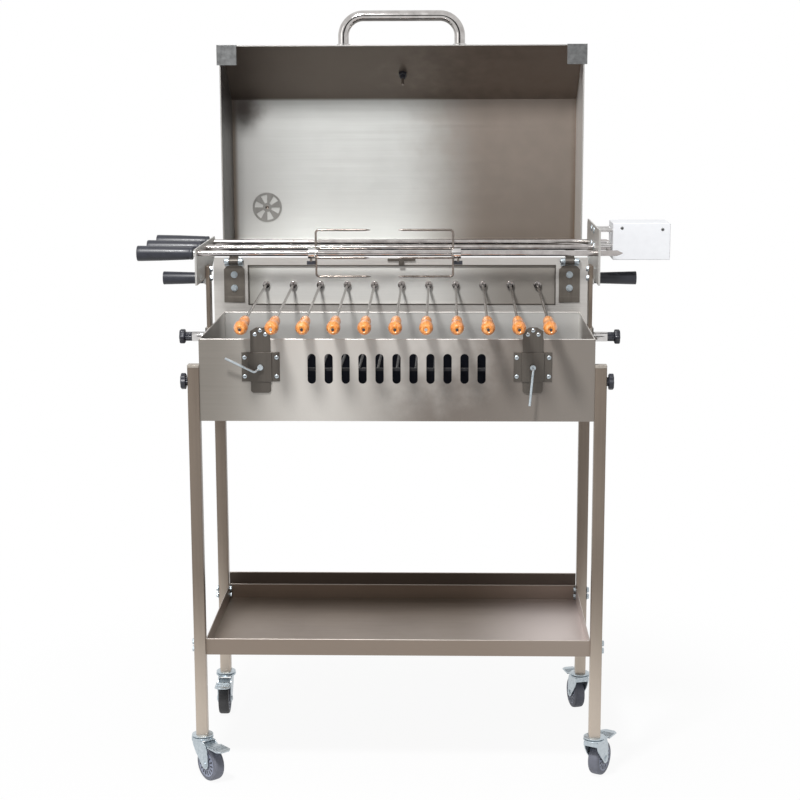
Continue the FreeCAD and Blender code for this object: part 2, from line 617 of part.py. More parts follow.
def vent_disc():
    """Rotary vent, standing closed: a disc with six openings inside the hood, turned by a knob outside."""
    face_y = f"({HOOD_BACK_Y} - hood_sheet)"
    disc = rod("disc", "vent_radius", "1.5", (VENT_X, f"{face_y} - clearance", VENT_Z), "-y")
    openings = vent_sectors("disc_opening", f"{face_y} + 1", "5", 30)
    pin = rod("vent_pin", "bolt_radius", "hood_sheet + 2 * clearance",
              (VENT_X, f"{face_y} - clearance", VENT_Z), "y")
    knob = rod("vent_knob", "9", "vent_knob - clearance", (VENT_X, f"{HOOD_BACK_Y} + clearance", VENT_Z), "y")
    node("vent_disc", [fuse("vent_disc", [cut("disc", disc, [openings]), pin, knob])])


def hood_corners():
    """Folded corner brackets on the lip: a square face with a return over the lip and the side."""
    brackets = []
    for name, side in SIDES:
        half = "hood_width / 2"
        out = f"({half} + corner_proud)"
        inner = f"({out} - corner_side)"
        face = side_box("corner_face", side, ("corner_side", "corner_sheet", "corner_side"), inner,
                        f"{RIM_Y} - corner_sheet", f"{LIP_Z} - corner_side + corner_sheet")
        lid = side_box("corner_lid", side, ("corner_side", "corner_return", "corner_sheet"), inner,
                       RIM_Y, LIP_Z)
        brackets.append(fuse("corner", [face, lid]))
    node("hood_corners", brackets)


def hood_handle():
    """Bent chrome tube on two flanges that stand on the lip band."""
    radius = size.handle_tube / 2
    half = size.handle_span / 2
    y = size.box_depth - size.clearance - size.barrel_radius + size.hood_rim_back + size.lip_band / 2
    foot = size.panel_top - size.barrel_radius + size.hood_reach
    top = foot + size.handle_rise
    points = [(-half, y, foot), (-half, y, top), (half, y, top), (half, y, foot)]
    bar = solid_feature("handle_bar", pipe("handle", radius, points, [size.handle_bend] * 2))
    flanges = [cut("flange", rod("flange", "min(flange_radius; lip_band / 2)", "flange_sheet",
                                 (f"{side} * handle_span / 2", f"{RIM_Y} + lip_band / 2", LIP_Z), "z"),
                   [rod("flange_bore", "handle_tube / 2", "flange_sheet",
                        (f"{side} * handle_span / 2", f"{RIM_Y} + lip_band / 2", LIP_Z), "z")])
               for name, side in SIDES]
    node("hood_handle", [bar] + flanges)


def uprights():
    bars = []
    for name, side in SIDES:
        bar = side_box("upright", side, ("upright_sheet", "upright_width", "upright_length"),
                       f"{HALF_BOX} + upright_gap", UPRIGHT_Y, f"{GRIP_Z} + upright_reach - upright_length")
        holes = [rod("bore", "bolt_radius", "2 * box_length", ("-box_length", "carriage_y", z), "x")
                 for z in carriage_bolt_heights()]
        bars.append(cut("upright", bar, holes))
    node("uprights", bars)


def carriage_bolt_heights():
    return [GRIP_Z, f"{GRIP_Z} + 20"]


def spit_places():
    return [("front", "spit_front"), ("middle", "spit_front + spit_pitch"),
            ("rear", "spit_front + 2 * spit_pitch")]


def spacer_places():
    return [(f"carriage_y + {step}", f"spit_axis + {rise}") for step in (-30, 30) for rise in (7, 40)]


def end_plate(side, rise):
    """Upright sheet that carries the three spits, with a folded flange at its front edge."""
    name = "end_plate"
    front, back = "(spit_front - plate_margin)", "(spit_front + 2 * spit_pitch + plate_margin)"
    low, top = "(spit_axis - plate_drop)", f"(spit_axis + {rise})"
    tab_front, tab_back = UPRIGHT_Y, f"({UPRIGHT_Y} + upright_width)"
    outline = [(front, low), (tab_front, low), (tab_front, f"{GRIP_Z} - 12"), (tab_back, f"{GRIP_Z} - 12"),
               (tab_back, low), (f"{back} - 90", low), (back, f"{low} + 42"), (back, f"{top} - 10"),
               (f"{back} - 10", top), (front, top)]
    holes = [((y, "spit_axis"), "spit_radius + running_fit") for place, y in spit_places()]
    holes += [(("carriage_y", z), "bolt_radius") for z in carriage_bolt_heights()]
    if side > 0:
        holes += [(centre, "bolt_radius") for centre in spacer_places()]
    x = PLATE_X if side > 0 else f"-{PLATE_OUT}"
    sheet_part = plate(name, "YZ_Plane", outline, "plate_sheet", (x, "0", "0"), holes)
    flange = side_box(name, side, ("plate_flange", "plate_sheet", f"{top} - {low}"), PLATE_X, front, low)
    return fuse(name, [sheet_part, flange])


def carriage_fasteners():
    """Bolts through uprights and end plates, and the chrome spacers that carry the motor."""
    low, high = carriage_bolt_heights()
    parts = []
    for name, side in SIDES:
        axis = "x" if side > 0 else "-x"
        inner = f"{side} * ({HALF_BOX} + upright_gap)"
        parts += bolt("plate_bolt", (inner, "carriage_y", high), axis, "upright_sheet + plate_sheet")
        parts += bolt("grip_bolt", (inner, "carriage_y", low), axis,
                      "upright_sheet + plate_sheet + 20", False)
    for y, z in spacer_places():
        sleeve = rod("spacer", "4", "motor_gap", (PLATE_OUT, y, z), "x")
        inner = (f"{PLATE_X} - spacer_head", y, z)
        tail = rod("spacer_screw", "bolt_radius", "plate_sheet + spacer_head", inner, "x")
        head = hexagon("spacer_head", "bolt_head", "spacer_head", inner, "x")
        parts.append(fuse("spacer", [sleeve, tail, head]))
    node("carriage_fasteners", parts)


def lift_grips():
    """Tapered hand grips outside the end plates, on their bolts."""
    grips = []
    for name, side in SIDES:
        axis = "x" if side > 0 else "-x"
        at = (f"{side} * {PLATE_OUT}", "carriage_y", GRIP_Z)
        body = cone("lift_grip", "lift_grip_radius - 2.5", "lift_grip_radius", "lift_grip_length", at, axis)
        bore = rod("grip_bore", "bolt_radius", "20 + head_height", at, axis)
        grips.append(cut("lift_grip", body, [bore]))
    node("lift_grips", grips)


def motor_case():
    """Sheet housing beside the right end plate with the geared motor inside."""
    low = "(spit_axis + motor_rise - motor_height / 2)"
    y = "(carriage_y - motor_depth / 2)"
    outer = box("case", ("motor_length", "motor_depth", "motor_height"), (MOTOR_X, y, low))
    room = box("case_room", ("motor_length - 2 * motor_wall", "motor_depth - 2 * motor_wall",
                             "motor_height - 2 * motor_wall"),
               (f"{MOTOR_X} + motor_wall", f"{y} + motor_wall", f"{low} + motor_wall"))
    mouth = rod("case_mouth", "9 + running_fit", "motor_wall", (MOTOR_X, "carriage_y", "spit_axis"), "x")
    core = rod("motor_core", "19", "70", (f"{MOTOR_X} + motor_wall", "carriage_y", "spit_axis"), "x")
    recess = rod("core_recess", "9 + running_fit", "17", (f"{MOTOR_X} + motor_wall", "carriage_y",
                                                          "spit_axis"), "x")
    node("motor_case", [cut("case", outer, [room, mouth]), cut("core", core, [recess])])


def spits():
    """Three turning spits: bar with a pointed end and a tapered grip; the middle one is driven."""
    start = f"({SPIT_END} - spit_grip_length * 0.6)"
    for place, y in spit_places():
        length = f"{start} + {PLATE_OUT} + spit_tail"
        bar = rod("spit_bar", "spit_radius", length, (f"-{start}", y, "spit_axis"), "x")
        tip = cone("spit_tip", "spit_radius", "1", "12", (f"{PLATE_OUT} + spit_tail", y, "spit_axis"), "x")
        grip = cone("spit_grip", "spit_grip_neck", "spit_grip_radius", "spit_grip_length",
                    (f"-{SPIT_END} + spit_grip_length", y, "spit_axis"), "-x")
        hollow = rod("spit_tang", "spit_radius", "spit_grip_length * 0.6", (f"-{start}", y, "spit_axis"), "x")
        parts = [bar, cut("spit_grip", grip, [hollow])]
        if place == "middle":
            socket = rod("drive_socket", "9", "26", (f"{MOTOR_X} - 10", y, "spit_axis"), "x")
            bore = rod("socket_bore", "spit_radius", "26", (f"{MOTOR_X} - 10", y, "spit_axis"), "x")
            parts.append(cut("drive_socket", socket, [bore]))
        else:
            parts[0] = fuse("spit_bar", [bar, tip])
        node(f"spit_{place}", parts)


def meat_fork(name, collar_x, side):
    """Four prongs bent from radial arms on a collar, pointing along side; held by a wing screw."""
    y, z = size.spit_front, size.spit_axis
    x = collar_x - side * size.prong_radius * 1.5
    reach, tip = size.fork_radius, x + side * size.prong_length
    solids = []
    for k in range(4):
        out = Vector(0, math.cos(math.tau * (k + 0.06) / 4), math.sin(math.tau * (k + 0.06) / 4))
        root = Vector(x, y, z) + out * (size.spit_radius + 2)
        corner = Vector(x, y, z) + out * reach
        end = Vector(tip, y, z) + out * reach
        prong = pipe(name, size.prong_radius, [root, corner, end], [size.prong_radius * 3])
        point = Part.makeCone(size.prong_radius, 0.4, 10, end, Vector(side, 0, 0))
        solids.append(prong.fuse(point))
    collar = Part.makeCylinder(size.fork_collar_radius, size.fork_collar_length,
                               Vector(collar_x, y, z), Vector(-side, 0, 0))
    collar = collar.fuse(solids)
    bore = Part.makeCylinder(size.spit_radius + size.running_fit, 4 * size.fork_collar_length,
                             Vector(x - 2 * size.fork_collar_length, y, z), Vector(1, 0, 0))
    screw_x = collar_x - side * size.fork_collar_length * 0.7
    start = Vector(screw_x, y, z - size.spit_radius - 0.5)
    hole = Part.makeCylinder(2.5, 12, start, Vector(0, 0, -1))
    stem = Part.makeCylinder(2.5, size.fork_collar_radius, start, Vector(0, 0, -1))
    wings = Part.makeBox(18, 3, 8, Vector(screw_x - 9, y - 1.5, z - size.spit_radius - 18))
    screw = stem.fuse(wings)
    parts = [solid_feature(name, collar.cut([bore, hole])), solid_feature(name + "_screw", screw)]
    node(name, parts)


def upright_guides():
    """Channels on the firebox ends that the uprights slide in, with the clamp's chrome sleeve."""
    parts = []
    for name, side in SIDES:
        axis = "x" if side > 0 else "-x"
        extent = ("upright_gap + upright_sheet + clearance + guide_wall",
                  "upright_width + 2 * clearance + 2 * guide_wall", "guide_height")
        block = side_box("guide", side, extent, HALF_BOX, f"{UPRIGHT_Y} - clearance - guide_wall",
                         "guide_bottom")
        room = side_box("guide_room", side, ("upright_gap + upright_sheet + clearance",
                                             "upright_width + 2 * clearance", "guide_height"),
                        HALF_BOX, f"{UPRIGHT_Y} - clearance", "guide_bottom")
        mid_z = "guide_bottom + guide_height / 2"
        out = f"{side} * ({PLATE_X} + clearance)"
        hole = rod("stud_hole", "bolt_radius + clearance", "sleeve_length + guide_wall",
                   (out, "carriage_y", mid_z), axis)
        sleeve = rod("sleeve", "sleeve_radius", "sleeve_length",
                     (f"{side} * ({PLATE_X} + clearance + guide_wall)", "carriage_y", mid_z), axis)
        parts.append(cut("guide", fuse("guide", [cut("channel", block, [room]), sleeve]), [hole]))
    node("upright_guides", parts)


def star_knobs():
    for name, side in SIDES:
        face = f"({PLATE_X} + clearance + guide_wall + sleeve_length + clearance)"
        at = (f"{side} * {face}", "carriage_y", "guide_bottom + guide_height / 2")
        stud = "sleeve_length + guide_wall + clearance"
        node(f"star_knob_{name}", [star("star_knob", at, "x" if side > 0 else "-x", stud)])


def skewer_columns():
    return [f"({k} - (skewer_count - 1) / 2) * skewer_pitch" for k in range(int(size.skewer_count))]


def lean_node(label, parts):
    node(label, parts, ("0", PIVOT_Y, "skewer_axis"), Vector(1, 0, 0), "lean")


CASE_HALF = "(window_width / 2 + 14)"


def gearbox():
    """Leaning case behind the window, trimmed to the back panel, with the plate that carries the sockets."""
    inner_half = f"({CASE_HALF} - gearbox_sheet)"
    half_high = "gearbox_height / 2"
    outer = box("case", (f"2 * {CASE_HALF}", "gearbox_depth + 14", "gearbox_height"),
                (f"-{CASE_HALF}", "-14", f"-{half_high}"))
    room = box("case_room", (f"2 * {inner_half}", "gearbox_depth + 14 - gearbox_sheet",
                             "gearbox_height - 2 * gearbox_sheet"),
               (f"-{inner_half}", "-14", f"-{half_high} + gearbox_sheet"))
    shafts = [rod("shaft_hole", "4 + running_fit", "3 * gearbox_sheet",
                  (x, "gearbox_depth - 2 * gearbox_sheet", "0"), "y") for x in skewer_columns()]
    shell = turned("case", cut("case", outer, [room] + shafts), Vector(1, 0, 0), "lean",
                   ("0", PIVOT_Y, "skewer_axis"))
    behind = box("behind_panel", ("box_length", "200", "400"),
                 (f"-{HALF_BOX}", PANEL_BACK, "skewer_axis - 200"))
    common = fresh("Part::Common", "gearbox_case")
    common.Base, common.Tool = shell, behind
    node("gearbox_case", [common])
    holes = [((x, "0"), "socket_radius + running_fit") for x in skewer_columns()]
    outline = rectangle(f"-{inner_half}", inner_half, f"-{half_high} + gearbox_sheet",
                        f"{half_high} - gearbox_sheet")
    lean_node("gearbox_plate", [plate("gearbox_plate", "XZ_Plane", outline, "panel_sheet",
                                      ("0", "panel_sheet", "0"), holes)])


def drive_chain():
    """The roller chain that wraps the row of sprockets, as one closed band."""
    span = "((skewer_count - 1) * skewer_pitch)"
    y = "panel_sheet + gear_setback"

    def stadium(radius):
        ends = [rod("chain", radius, "6", (f"{sign} * {span} / 2", y, "0"), "y") for sign in (-1, 1)]
        return fuse("chain", ends + [box("chain", (span, "6", f"2 * ({radius})"),
                                         (f"-{span} / 2", y, f"-({radius})"))])
    inside = "(gear_radius + clearance)"
    lean_node("drive_chain", [cut("chain", stadium(f"({inside} + chain_thick)"), [stadium(inside)])])


def sprocket(x, y, bore):
    """A toothed wheel on a skewer's socket shaft."""
    teeth = 14
    points = []
    for k in range(4 * teeth):
        radius = size.gear_radius - (0 if k % 4 in (1, 2) else 3.5)
        turn = math.tau * k / (4 * teeth)
        points.append(Vector(x + radius * math.cos(turn), y, radius * math.sin(turn)))
    face = Part.Face(Part.makePolygon(points + points[:1]))
    wheel = face.extrude(Vector(0, 5, 0))
    return wheel.cut(Part.makeCylinder(bore, 20, Vector(x, y - 5, 0), Vector(0, 1, 0)))


def grip_profile(x):
    """The two-lobed wooden grip, turned about the skewer's axis."""
    start, length = -size.skewer_grip_start, size.skewer_grip_length
    waist, end = start - length * 0.46, start - length

    def at(radius, y):
        return Vector(x + radius, y, 0)
    barrel = Part.Arc(at(size.grip_waist * 0.9, start), at(size.grip_barrel, start - length * 0.22),
                      at(size.grip_waist, waist))
    ball = Part.Arc(at(size.grip_waist, waist), at(size.grip_ball, start - length * 0.75),
                    at(size.grip_end, end))
    lines = [Part.LineSegment(at(size.grip_end, end), at(0, end)),
             Part.LineSegment(at(0, end), at(0, start)),
             Part.LineSegment(at(0, start), at(size.grip_waist * 0.9, start))]
    wire = Part.Wire([edge.toShape() for edge in [barrel, ball] + lines])
    return Part.Face(wire).revolve(Vector(x, 0, 0), Vector(0, 1, 0), 360)


def skewers():
    """Eleven small skewers, each with its drive socket and sprocket."""
    for number, column in enumerate(skewer_columns(), 1):
        x = (number - (size.skewer_count + 1) / 2) * size.skewer_pitch
        tang = "skewer_grip_length * 0.5"
        bar = rod("skewer_bar", "skewer_rod", f"skewer_grip_start + {tang} + 18",
                  (column, f"-skewer_grip_start - {tang}", "0"), "y")
        hollow = Part.makeCylinder(size.skewer_rod, size.skewer_grip_length * 0.5,
                                   Vector(x, -size.skewer_grip_start, 0), Vector(0, -1, 0))
        grip = solid_feature("skewer_grip", grip_profile(x).cut(hollow))
        tube = rod("socket", "socket_radius", "socket_proud + 24", (column, "-socket_proud", "0"), "y")
        shaft = rod("socket_shaft", "4", "gearbox_depth - 21 + 3", (column, "20", "0"), "y")
        bore = rod("socket_bore", "skewer_rod", "socket_proud + 18", (column, "-socket_proud", "0"), "y")
        socket = cut("socket", fuse("socket", [tube, shaft]), [bore])
        wheel = solid_feature("sprocket", sprocket(x, size.panel_sheet + size.gear_setback + 0.5,
                                                   size.socket_radius))
        lean_node(f"skewer_{number:02d}", [bar, grip, socket, wheel])


def clamp_plates():
    """Omega plates on the firebox front that the slides pass behind, each with its four screws."""
    parts = []
    low = "(clamp_middle - clamp_height / 2)"
    room = "(slide_sheet + 2 * clearance)"
    for name, side in SIDES:
        middle = f"({side} * clamp_spread / 2)"
        step = "(slide_width / 2 + clearance)"
        solids = [box("omega_face", (f"2 * {step} + 2 * clamp_sheet", "clamp_sheet", "clamp_height"),
                      (f"{middle} - {step} - clamp_sheet", f"-{room} - clamp_sheet", low))]
        for sign in (-1, 1):
            web_x = step if sign > 0 else f"(-{step} - clamp_sheet)"
            solids.append(box("omega_web", ("clamp_sheet", room, "clamp_height"),
                              (f"{middle} + {web_x}", f"-{room}", low)))
            wing_x = step if sign > 0 else "(-clamp_width / 2)"
            solids.append(box("omega_wing", (f"clamp_width / 2 - {step}", "clamp_sheet", "clamp_height"),
                              (f"{middle} + {wing_x}", "-clamp_sheet", low)))
        hole = rod("stud_hole", "bolt_radius + clearance", "20", (middle, "0", "clamp_middle"), "-y")
        parts.append(cut("omega", fuse("omega", solids), [hole]))
        for across in (-1, 1):
            for up in (-1, 1):
                parts.append(slotted_screw("clamp_screw", (f"{middle} + {across} * (clamp_width / 2 - 6.5)",
                                                           "-clamp_sheet", f"clamp_middle + {up} * 20")))
    node("clamp_plates", parts)


def slide_plates():
    """Peaked slide plates with a strip over the rim that hangs the charcoal grate inside."""
    parts = []
    back = "-clearance"
    top, low = "slide_top", "(slide_top - slide_length)"
    for name, side in SIDES:
        middle = f"({side} * clamp_spread / 2)"
        half = "slide_width / 2"
        outline = [(f"{middle} - {half} + 4", low), (f"{middle} + {half} - 4", low),
                   (f"{middle} + {half}", f"{low} + 4"), (f"{middle} + {half}", f"{top} - slide_peak"),
                   (f"{middle} + 8", top), (f"{middle} - 8", top),
                   (f"{middle} - {half}", f"{top} - slide_peak"), (f"{middle} - {half}", f"{low} + 4")]
        face = plate("slide", "XZ_Plane", outline, "slide_sheet", ("0", back, "0"))
        x = f"{middle} - 14"
        over, drop = f"({BOX_TOP} + 3)", "box_sheet + clearance + 2"
        strap = [box("strap_front", ("28", "2", f"{top} - 6 - {over}"), (x, back, over)),
                 box("strap_top", ("28", f"clearance + {drop} + 2", "2"), (x, back, over)),
                 box("strap_drop", ("28", "2", f"{over} - box_floor - grate_rise"),
                     (x, drop, "box_floor + grate_rise")),
                 box("strap_foot", ("28", f"box_sheet + grate_gap - ({drop})", "2"),
                     (x, drop, "box_floor + grate_rise"))]
        parts.append(fuse("slide", [face] + strap))
        for across, fall in ((0, 6.5), (-11, 15), (11, 15)):
            parts.append(slotted_screw("slide_screw", (f"{middle} + {across}", f"{back} - slide_sheet",
                                                       f"{top} - {fall}")))
    node("slide_plates", parts)


def clamp_levers():
    """Bent wire levers that turn the clamp studs against the slides."""
    face = size.slide_sheet + 2 * size.clearance + size.clamp_sheet
    for name, side in SIDES:
        x, z = side * size.clamp_spread / 2, size.clamp_middle
        turn = math.radians(size.lever_turn_left if side < 0 else size.lever_turn_right)
        out = Vector(math.cos(turn), -0.18, math.sin(turn)).normalize()
        foot = Vector(x, -face - size.clearance, z)
        boss = Part.makeCylinder(6, 7, foot, Vector(0, -1, 0))
        stud = Part.makeCylinder(size.bolt_radius, size.clamp_sheet + size.clearance, foot, Vector(0, 1, 0))
        knee = foot + Vector(0, -15, 0)
        arm = pipe("lever", size.lever_radius, [foot + Vector(0, -3, 0), knee, knee + out * size.lever_arm],
                   [size.lever_radius * 2.5])
        node(f"clamp_lever_{name}", [solid_feature("lever", boss.fuse([stud, arm]).removeSplitter())])


CORNERS = (("front_left", -1, LEG_ROWS[0][1]), ("front_right", 1, LEG_ROWS[0][1]),
           ("rear_left", -1, LEG_ROWS[1][1]), ("rear_right", 1, LEG_ROWS[1][1]))
TOP_PLATE_LOW = "(caster_height - 10.7)"
PEDAL_X = "(trail / 2)"
PEDAL_Z = f"({TOP_PLATE_LOW} - 9)"


def caster_mounts():
    """Round plate under each leg with a square stem in the tube and the kingpin below."""
    parts = []
    for name, side, y in CORNERS:
        x, mid_y = f"{side} * ({HALF_BOX} + leg_side / 2)", f"{y} + leg_side / 2"
        inner = "(leg_side - 2 * leg_wall)"
        parts.append(fuse("mount", [
            rod("mount_disc", "23", "4", (x, mid_y, "caster_height - 4"), "z"),
            box("mount_stem", (inner, inner, "28"), (f"{x} - {inner} / 2", f"{mid_y} - {inner} / 2",
                                                     "caster_height")),
            rod("kingpin", "kingpin_radius", "12", (x, mid_y, "caster_height - 16"), "z"),
            rod("kingpin_head", "8", "4", (x, mid_y, f"{TOP_PLATE_LOW} - clearance - 4"), "z")]))
    node("caster_mounts", parts)


def caster_fork(label, at, swivel):
    """Swivel plate, two cheeks and the axle; the wheel trails along the local +X."""
    top = rod("swivel_plate", "24", "4.7", ("0", "0", TOP_PLATE_LOW), "z")
    race = rod("swivel_race", "20", "6.4", ("0", "0", TOP_PLATE_LOW), "z")
    bore = rod("swivel_bore", "kingpin_radius + running_fit", "20", ("0", "0", f"{TOP_PLATE_LOW} - 5"), "z")
    outline = [("-18", f"{TOP_PLATE_LOW} - 6"), ("trail - 11", "wheel_radius - 6"),
               ("trail - 6", "wheel_radius - 11"), ("trail + 6", "wheel_radius - 11"),
               ("trail + 11", "wheel_radius - 5"), ("trail + 9", "wheel_radius + 18"),
               ("24", f"{TOP_PLATE_LOW} - 4"), ("18", f"{TOP_PLATE_LOW} + 1"),
               ("-18", f"{TOP_PLATE_LOW} + 1")]
    gap = "(wheel_width / 2 + 2)"
    cheeks = [plate("cheek", "XZ_Plane", outline, "cheek_sheet", ("0", y, "0"),
                    [(("trail", "wheel_radius"), "axle_radius"), ((PEDAL_X, PEDAL_Z), "2")])
              for y in (f"{gap} + cheek_sheet", f"-{gap}")]
    frame = cut("fork", fuse("fork", [top, race] + cheeks), [bore])
    axle = fuse("axle", [rod("axle", "axle_radius", f"2 * {gap} + 2 * cheek_sheet",
                             ("trail", f"-{gap} - cheek_sheet", "wheel_radius"), "y")]
                + [rod("axle_head", "6.5", "2.5", ("trail", y, "wheel_radius"), axis)
                   for y, axis in ((f"{gap} + cheek_sheet", "y"), (f"-{gap} - cheek_sheet", "-y"))])
    pin = rod("pedal_pin", "2", f"2 * {gap} + 2 * cheek_sheet",
              (PEDAL_X, f"-{gap} - cheek_sheet", PEDAL_Z), "y")
    node(label, [frame, axle, pin], at, Vector(0, 0, 1), swivel)


def caster_wheel(label, at, swivel):
    """Rounded tyre on a hub with a ring of radial slots."""
    half = "wheel_width / 2"
    core = "(wheel_radius - tyre_thick)"
    disc = rod("tyre", "wheel_radius", "wheel_width", ("trail", f"-{half}", "wheel_radius"), "y")
    rounded = fresh("Part::Fillet", "tyre_round")
    doc.recompute()
    rounded.Base = disc
    rims = [k for k, edge in enumerate(disc.Shape.Edges, 1) if len(edge.Vertexes) == 1]
    rounded.Edges = [(k, size.tyre_round, size.tyre_round) for k in rims]
    tyre = cut("tyre", rounded, [rod("tyre_bore", core, "wheel_width", ("trail", f"-{half}", "wheel_radius"),
                                     "y")])
    hub = rod("hub", core, "wheel_width - 4", ("trail", f"-{half} + 2", "wheel_radius"), "y")
    boss = rod("hub_boss", "9", "wheel_width", ("trail", f"-{half}", "wheel_radius"), "y")
    bore = rod("hub_bore", "axle_radius + running_fit", "wheel_width", ("trail", f"-{half}", "wheel_radius"),
               "y")
    slots = []
    for k in range(15):
        turn = 360 * k / 15
        slot = fresh("Part::Box", "hub_slot")
        slot.Placement = Placement(Vector(), Rotation(Vector(0, 1, 0), turn))
        bind(slot, "Length", f"{core} - 14")
        bind(slot, "Width", "wheel_width")
        slot.Height = 2.6
        cos, sin = math.cos(math.radians(turn)), math.sin(math.radians(turn))
        slots.append(put(slot, (f"trail + {11 * cos - 1.3 * sin:.4f}", f"-{half}",
                                f"wheel_radius + {-11 * sin - 1.3 * cos:.4f}")))
    node(label, [tyre, cut("hub", fuse("hub", [hub, boss]), [bore] + slots)], at, Vector(0, 0, 1), swivel)


def caster_pedal(label, at, swivel):
    """Brake pedal: narrow between the cheeks, wide outside them, turning on its pin."""
    narrow, wide = "(wheel_width / 2 + 1.5)", "(pedal_width / 2)"
    start, step = "12", "(trail + 14)"
    outline = [(start, f"-{narrow}"), (step, f"-{narrow}"), (step, f"-{wide}"),
               ("pedal_reach - 8", f"-{wide}"), ("pedal_reach", f"-{wide} + 8"),
               ("pedal_reach", f"{wide} - 8"), ("pedal_reach - 8", wide), (step, wide), (step, narrow),
               (start, narrow)]
    tread = plate("pedal", "XY_Plane", outline, "2.5", ("0", "0", f"{PEDAL_Z} + 1.5"))
    barrel = rod("pedal_barrel", "3.2", f"2 * {narrow}", (PEDAL_X, f"-{narrow}", PEDAL_Z), "y")
    bore = rod("pedal_bore", "2 + running_fit", f"2 * {narrow}", (PEDAL_X, f"-{narrow}", PEDAL_Z), "y")
    node(label, [cut("pedal", fuse("pedal", [tread, barrel]), [bore])], at, Vector(0, 0, 1), swivel)


def casters():
    for name, side, y in CORNERS:
        at = (f"{side} * ({HALF_BOX} + leg_side / 2)", f"{y} + leg_side / 2", "0")
        caster_fork(f"caster_fork_{name}", at, f"swivel_{name}")
        caster_wheel(f"caster_wheel_{name}", at, f"swivel_{name}")
        caster_pedal(f"caster_pedal_{name}", at, f"swivel_{name}")


def frame_fasteners():
    """Hex bolts that hold the shelf and the firebox to the legs, and the hinge plates to the back panel."""
    parts = []
    for name, side in SIDES:
        at = (f"{side} * ({HALF_BOX} + leg_side)", f"{LEG_ROWS[1][1]} + leg_side / 2", FIREBOX_KNOB_Z)
        parts += bolt("leg_bolt", at, "-x" if side > 0 else "x", "leg_side + box_sheet", False)
    for row, y in LEG_ROWS:
        for name, side in SIDES:
            for z in shelf_bolt_heights():
                at = (f"{side} * ({HALF_BOX} + leg_side)", SHELF_BOLT_Y[row], z)
                parts += bolt("shelf_bolt", at, "-x" if side > 0 else "x", "leg_side + shelf_sheet")
    for side, z in hinge_bolt_places():
        at = (f"{side} * hinge_spread / 2", "box_depth - hinge_plate_sheet", z)
        parts += bolt("hinge_bolt", at, "y", "hinge_plate_sheet + panel_sheet")
    node("frame_fasteners", parts)


def build():
    leg_parts()
    leg_knobs()
    shelf()
    firebox()
    charcoal_grate()
    back_panel()
    hinge_plates()
    frame_fasteners()
    gearbox()
    drive_chain()
    skewers()
    clamp_plates()
    slide_plates()
    clamp_levers()
    upright_guides()
    star_knobs()
    uprights()
    node("end_plates", [end_plate(-1, "left_plate_rise"), end_plate(1, "right_plate_rise")])
    carriage_fasteners()
    lift_grips()
    motor_case()
    spits()
    meat_fork("meat_fork_left", -size.fork_left + size.fork_collar_length, 1)
    meat_fork("meat_fork_right", size.fork_right - size.fork_collar_length, -1)
    hood_shell()
    hood_handle()
    hood_corners()
    vent_disc()
    thermometer()
    hood_hinge_leaves()
    caster_mounts()
    casters()


def check_and_write():
    doc.recompute()
    faulty = [obj.Name for obj in doc.Objects if "Invalid" in obj.State or "Error" in obj.State]
    if faulty:
        raise RuntimeError("these objects failed: " + ", ".join(faulty))
    for obj in nodes:
        if obj.Shape.isNull() or not obj.Shape.isValid() or not obj.Shape.Solids:
            raise RuntimeError(obj.Label + " has no valid solid")
    os.makedirs("parts", exist_ok=True)
    for obj in nodes:
        obj.Shape.exportStep(f"parts/{obj.Label}.step")
    whole = Part.makeCompound([obj.Shape for obj in nodes]).BoundBox
    print("nodes", len(nodes), "box", [round(v, 2) for v in (whole.XMin, whole.XMax, whole.YMin, whole.YMax,
                                                             whole.ZMin, whole.ZMax)])


build()
check_and_write()
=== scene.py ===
import math
import bmesh
import bpy
import numpy as np
from mathutils import Matrix, Vector


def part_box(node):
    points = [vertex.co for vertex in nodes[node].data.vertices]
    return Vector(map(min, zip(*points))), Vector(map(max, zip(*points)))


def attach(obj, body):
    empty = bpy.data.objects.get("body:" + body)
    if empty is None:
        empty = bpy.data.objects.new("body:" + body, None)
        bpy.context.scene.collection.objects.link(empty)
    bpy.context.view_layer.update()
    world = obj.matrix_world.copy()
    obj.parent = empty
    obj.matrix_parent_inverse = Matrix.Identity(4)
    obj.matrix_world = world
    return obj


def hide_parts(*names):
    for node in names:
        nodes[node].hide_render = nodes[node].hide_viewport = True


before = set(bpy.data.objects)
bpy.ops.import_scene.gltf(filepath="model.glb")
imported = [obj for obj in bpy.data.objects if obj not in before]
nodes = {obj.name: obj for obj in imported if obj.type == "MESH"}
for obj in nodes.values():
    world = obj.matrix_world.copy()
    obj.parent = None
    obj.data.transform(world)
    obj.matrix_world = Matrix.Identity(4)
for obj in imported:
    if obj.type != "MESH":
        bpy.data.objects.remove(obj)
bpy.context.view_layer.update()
print("stage: frame loaded")

# Sizes below are in millimetres from the middle of the firebox's front face, at floor level
boxLow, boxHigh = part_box("firebox")
shift = np.array([(boxLow.x + boxHigh.x) * 500, boxLow.y * 1000, 0.0])
scene = bpy.context.scene


# Frame point: the point in millimetres plus the shift, divided by 1000
def toFrame(points):
    return (np.asarray(points, float) + shift) / 1000


